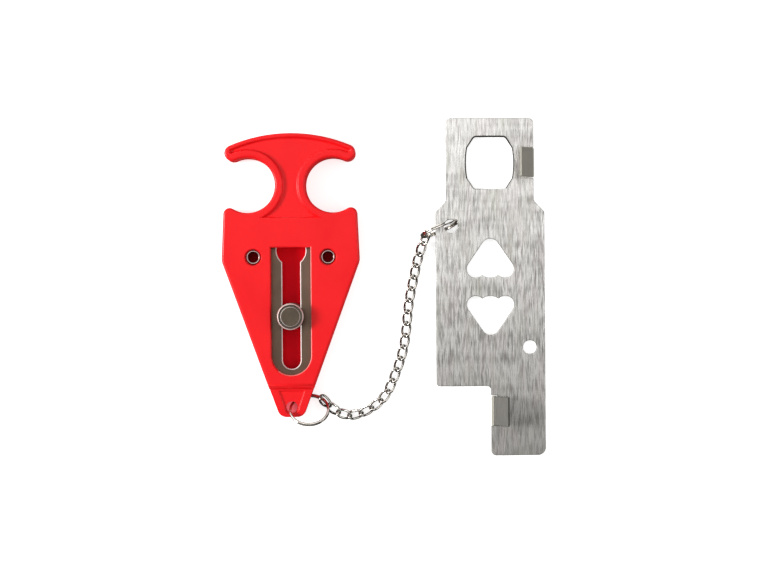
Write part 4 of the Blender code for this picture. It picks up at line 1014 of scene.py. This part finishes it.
brushed = Finish("brushed_stainless")
hairs = brushed.spread(brushed.grain((3600.0, 200.0, 3600.0), detail=3.0), 0.34, 0.66)
streaks = brushed.grain((1500.0, 170.0, 1500.0), detail=3.0, shift=(3.0, 1.0, 0.0))
streaks = brushed.spread(streaks, 0.36, 0.64)
bands = brushed.grain((24.0, 170.0, 24.0), detail=3.0, shift=(0.0, 5.0, 0.0))
bands = brushed.spread(bands, 0.35, 0.65)
plate_y = brushed.node("ShaderNodeTexCoord", output="Object")
plate_y = brushed.node("ShaderNodeSeparateXYZ", None, {0: plate_y}, output=1)
fading = brushed.spread(plate_y, -0.005, 0.050, 1.0, 0.55)
# The plate is painted darker towards the bottom as shade.
lower_shade = brushed.spread(plate_y, -0.060, 0.020, 0.60, 0.0)
shade = (hairs * 0.45 + streaks * 0.55 - 0.5) * fading * 1.7 + bands * 0.44 + 0.40
steel = brushed.between(lower_shade, brushed.between(shade, *BRUSHED), LOWER_SHADE_STEEL)
blush = brushed.grain((260.0, 60.0, 260.0), shift=(7.0, 0.0, 2.0))
steel = brushed.between(brushed.spread(blush, 0.5, 0.8, 0.0, 0.5), steel, BLUSH)
olive = brushed.grain((210.0, 50.0, 210.0), shift=(2.0, 9.0, 4.0))
steel = brushed.between(brushed.spread(olive, 0.5, 0.8, 0.0, 0.5), steel, OLIVE)
underside_and_claws = brushed.spread(brushed.painted_light_and_finish(), MINUS_MARK, 0.0, 1.0, 0.0)
claw_shading = brushed.spread(brushed.painted_light_and_finish(), CLAW_SHADE_MARK, MINUS_MARK, 1.0, 0.0)
latch_edge_shading = brushed.spread(brushed.painted_light_and_finish(), EDGE_SHADE_MARK, CLAW_SHADE_MARK, 1.0, 0.0)
milled_and_shaded = brushed.between(hairs * 0.5 + bands * 0.5, *MILLED_AND_SHADED)
steel = brushed.between(claw_shading, brushed.between(underside_and_claws, steel, milled_and_shaded), CLAW_SHADE)
brushed.feed(base_color=brushed.between(latch_edge_shading, steel, LATCH_EDGE_SHADE))
brushed.feed(roughness=hairs * 0.08 + underside_and_claws * 0.25 + 0.22, metallic=underside_and_claws * -0.4 + 0.5)
brushed.bump(hairs * 0.5 + streaks * 0.5, 0.00003)
piece("sheet_plate", plate, brushed, "strike_plate", "strike_plate")

# Table, light and camera: a white table under a soft light from the left and a weak one from
# the right, seen from straight above. What the metal mirrors is bright at the left and above.

CAMERA_PLACE = (-0.0001, -0.0002, 0.560)
CAMERA_LENS = 67.93
CAMERA_NEAR = 0.01
CAMERA_TURN = math.radians(-0.4)
KEY_PLACE = Vector((-1.05, 0.03, 0.60))
KEY_SIZE = 0.28
KEY_POWER = 12.8
FILL_PLACE = Vector((1.05, 0.10, 0.60))
FILL_SIZE = 0.60
FILL_POWER = 3.0
ROOM_LIGHT = 0.47
FLOOR_SIZE = 6.0
TABLE_DROP = 0.0001
LUG_SHADE_RADIUS, LUG_SHADE_EDGE = 0.0032, 0.0002
NO_GLOW, PAPER_GLOW, LUG_BOUNCE_GLOW = (0.0, 0.0, 0.0), (0.68, 0.68, 0.68), (0.12, 0.0, 0.0)
PAPER_WHITE, LUG_SHADE_PINK, MIRRORED_PAPER = (0.80, 0.80, 0.79), (0.70, 0.15, 0.18), (0.16, 0.15, 0.14)

table = bmesh.new()
bmesh.ops.create_grid(table, x_segments=1, y_segments=1, size=FLOOR_SIZE / 2)
table_data = bpy.data.meshes.new("table")
table.to_mesh(table_data)
table.free()
table_top = added("table", table_data)
table_top.location.z = -TABLE_DROP

# The paper glows to the camera alone. Mirrored in metal it is a painted dark reflection; in the
# lug's hole, painted pink shade with red bounce light.
paper = Finish("white_paper")
paper.shader.inputs["Roughness"].default_value = 0.9
paper.shader.inputs["Specular IOR Level"].default_value = 0.0
paper.shader.inputs["Emission Strength"].default_value = 1.0
hole_spot = (HANDLE_X, HANDLE_Y + LUG_HOLE_Y, 0.0)
spots = {0: paper.node("ShaderNodeTexCoord", output="Object"), 1: hole_spot}
from_hole = paper.node("ShaderNodeVectorMath", {"operation": "DISTANCE"}, spots, output=1)
shade_end = LUG_SHADE_RADIUS + LUG_SHADE_EDGE
under_lug = paper.spread(from_hole, LUG_SHADE_RADIUS, shade_end, 1.0, 0.0)
seen = paper.node("ShaderNodeLightPath", output="Is Camera Ray")
glow = paper.between(under_lug, PAPER_GLOW, LUG_BOUNCE_GLOW)
paper.feed(emission_color=paper.between(seen, NO_GLOW, glow))
white = paper.between(under_lug, PAPER_WHITE, LUG_SHADE_PINK)
paper.feed(base_color=paper.between(seen.beside("Is Glossy Ray"), white, MIRRORED_PAPER))
table_data.materials.append(paper.material)

world = bpy.data.worlds.new("studio")
world.use_nodes = True
bpy.context.scene.world = world
studio = Shading(world.node_tree)
room_way = studio.node("ShaderNodeTexCoord", output="Generated")
room_x = studio.node("ShaderNodeSeparateXYZ", None, {0: room_way})
room_y, room_z = room_x.beside(1), room_x.beside(2)
across = studio.spread(room_x, 0.15, 0.45, 1.0, 0.04)
slope = studio.spread(room_y, -0.14, 0.15, 0.0, 1.85) * studio.spread(room_y, 0.20, 0.50, 1.0, 0.50)
low = studio.spread(room_z, 0.02, 0.40, 0.35, 1.0)
panel = studio.spread(room_y * 0.6 - room_x * 0.8, 0.40, 0.58, 0.0, 3.2)
panel = panel * studio.spread(room_z, 0.08, 0.18) * studio.spread(room_z, 0.36, 0.48, 1.0, 0.0)
room = across * slope * low + panel
seen = studio.node("ShaderNodeLightPath", output="Is Camera Ray")
choice = {0: seen.beside("Is Glossy Ray"), 2: ROOM_LIGHT, 3: room}
unseen = studio.node("ShaderNodeMix", {"data_type": "FLOAT"}, choice)
strength = studio.node("ShaderNodeMix", {"data_type": "FLOAT"}, {0: seen, 2: unseen, 3: 1.0})
backdrop = world.node_tree.nodes["Background"]
backdrop.inputs["Color"].default_value = (1.0, 1.0, 1.0, 1.0)
world.node_tree.links.new(strength.socket, backdrop.inputs["Strength"])


def lamp(name, place, size, power):
    """A square soft light that faces the middle of the table."""
    light = bpy.data.lights.new(name, "AREA")
    light.shape = "SQUARE"
    light.size = size
    light.energy = power
    hung = added(name, light)
    hung.location = place
    hung.rotation_euler = place.to_track_quat("Z", "Y").to_euler()


lamp("key", KEY_PLACE, KEY_SIZE, KEY_POWER)
lamp("fill", FILL_PLACE, FILL_SIZE, FILL_POWER)

camera = bpy.data.cameras.new("camera")
camera.lens = CAMERA_LENS
camera.clip_start = CAMERA_NEAR
eye = added("camera", camera)
eye.location = CAMERA_PLACE
eye.rotation_euler = (0.0, 0.0, CAMERA_TURN)
bpy.context.scene.camera = eye
bpy.context.scene.view_settings.view_transform = "Standard"
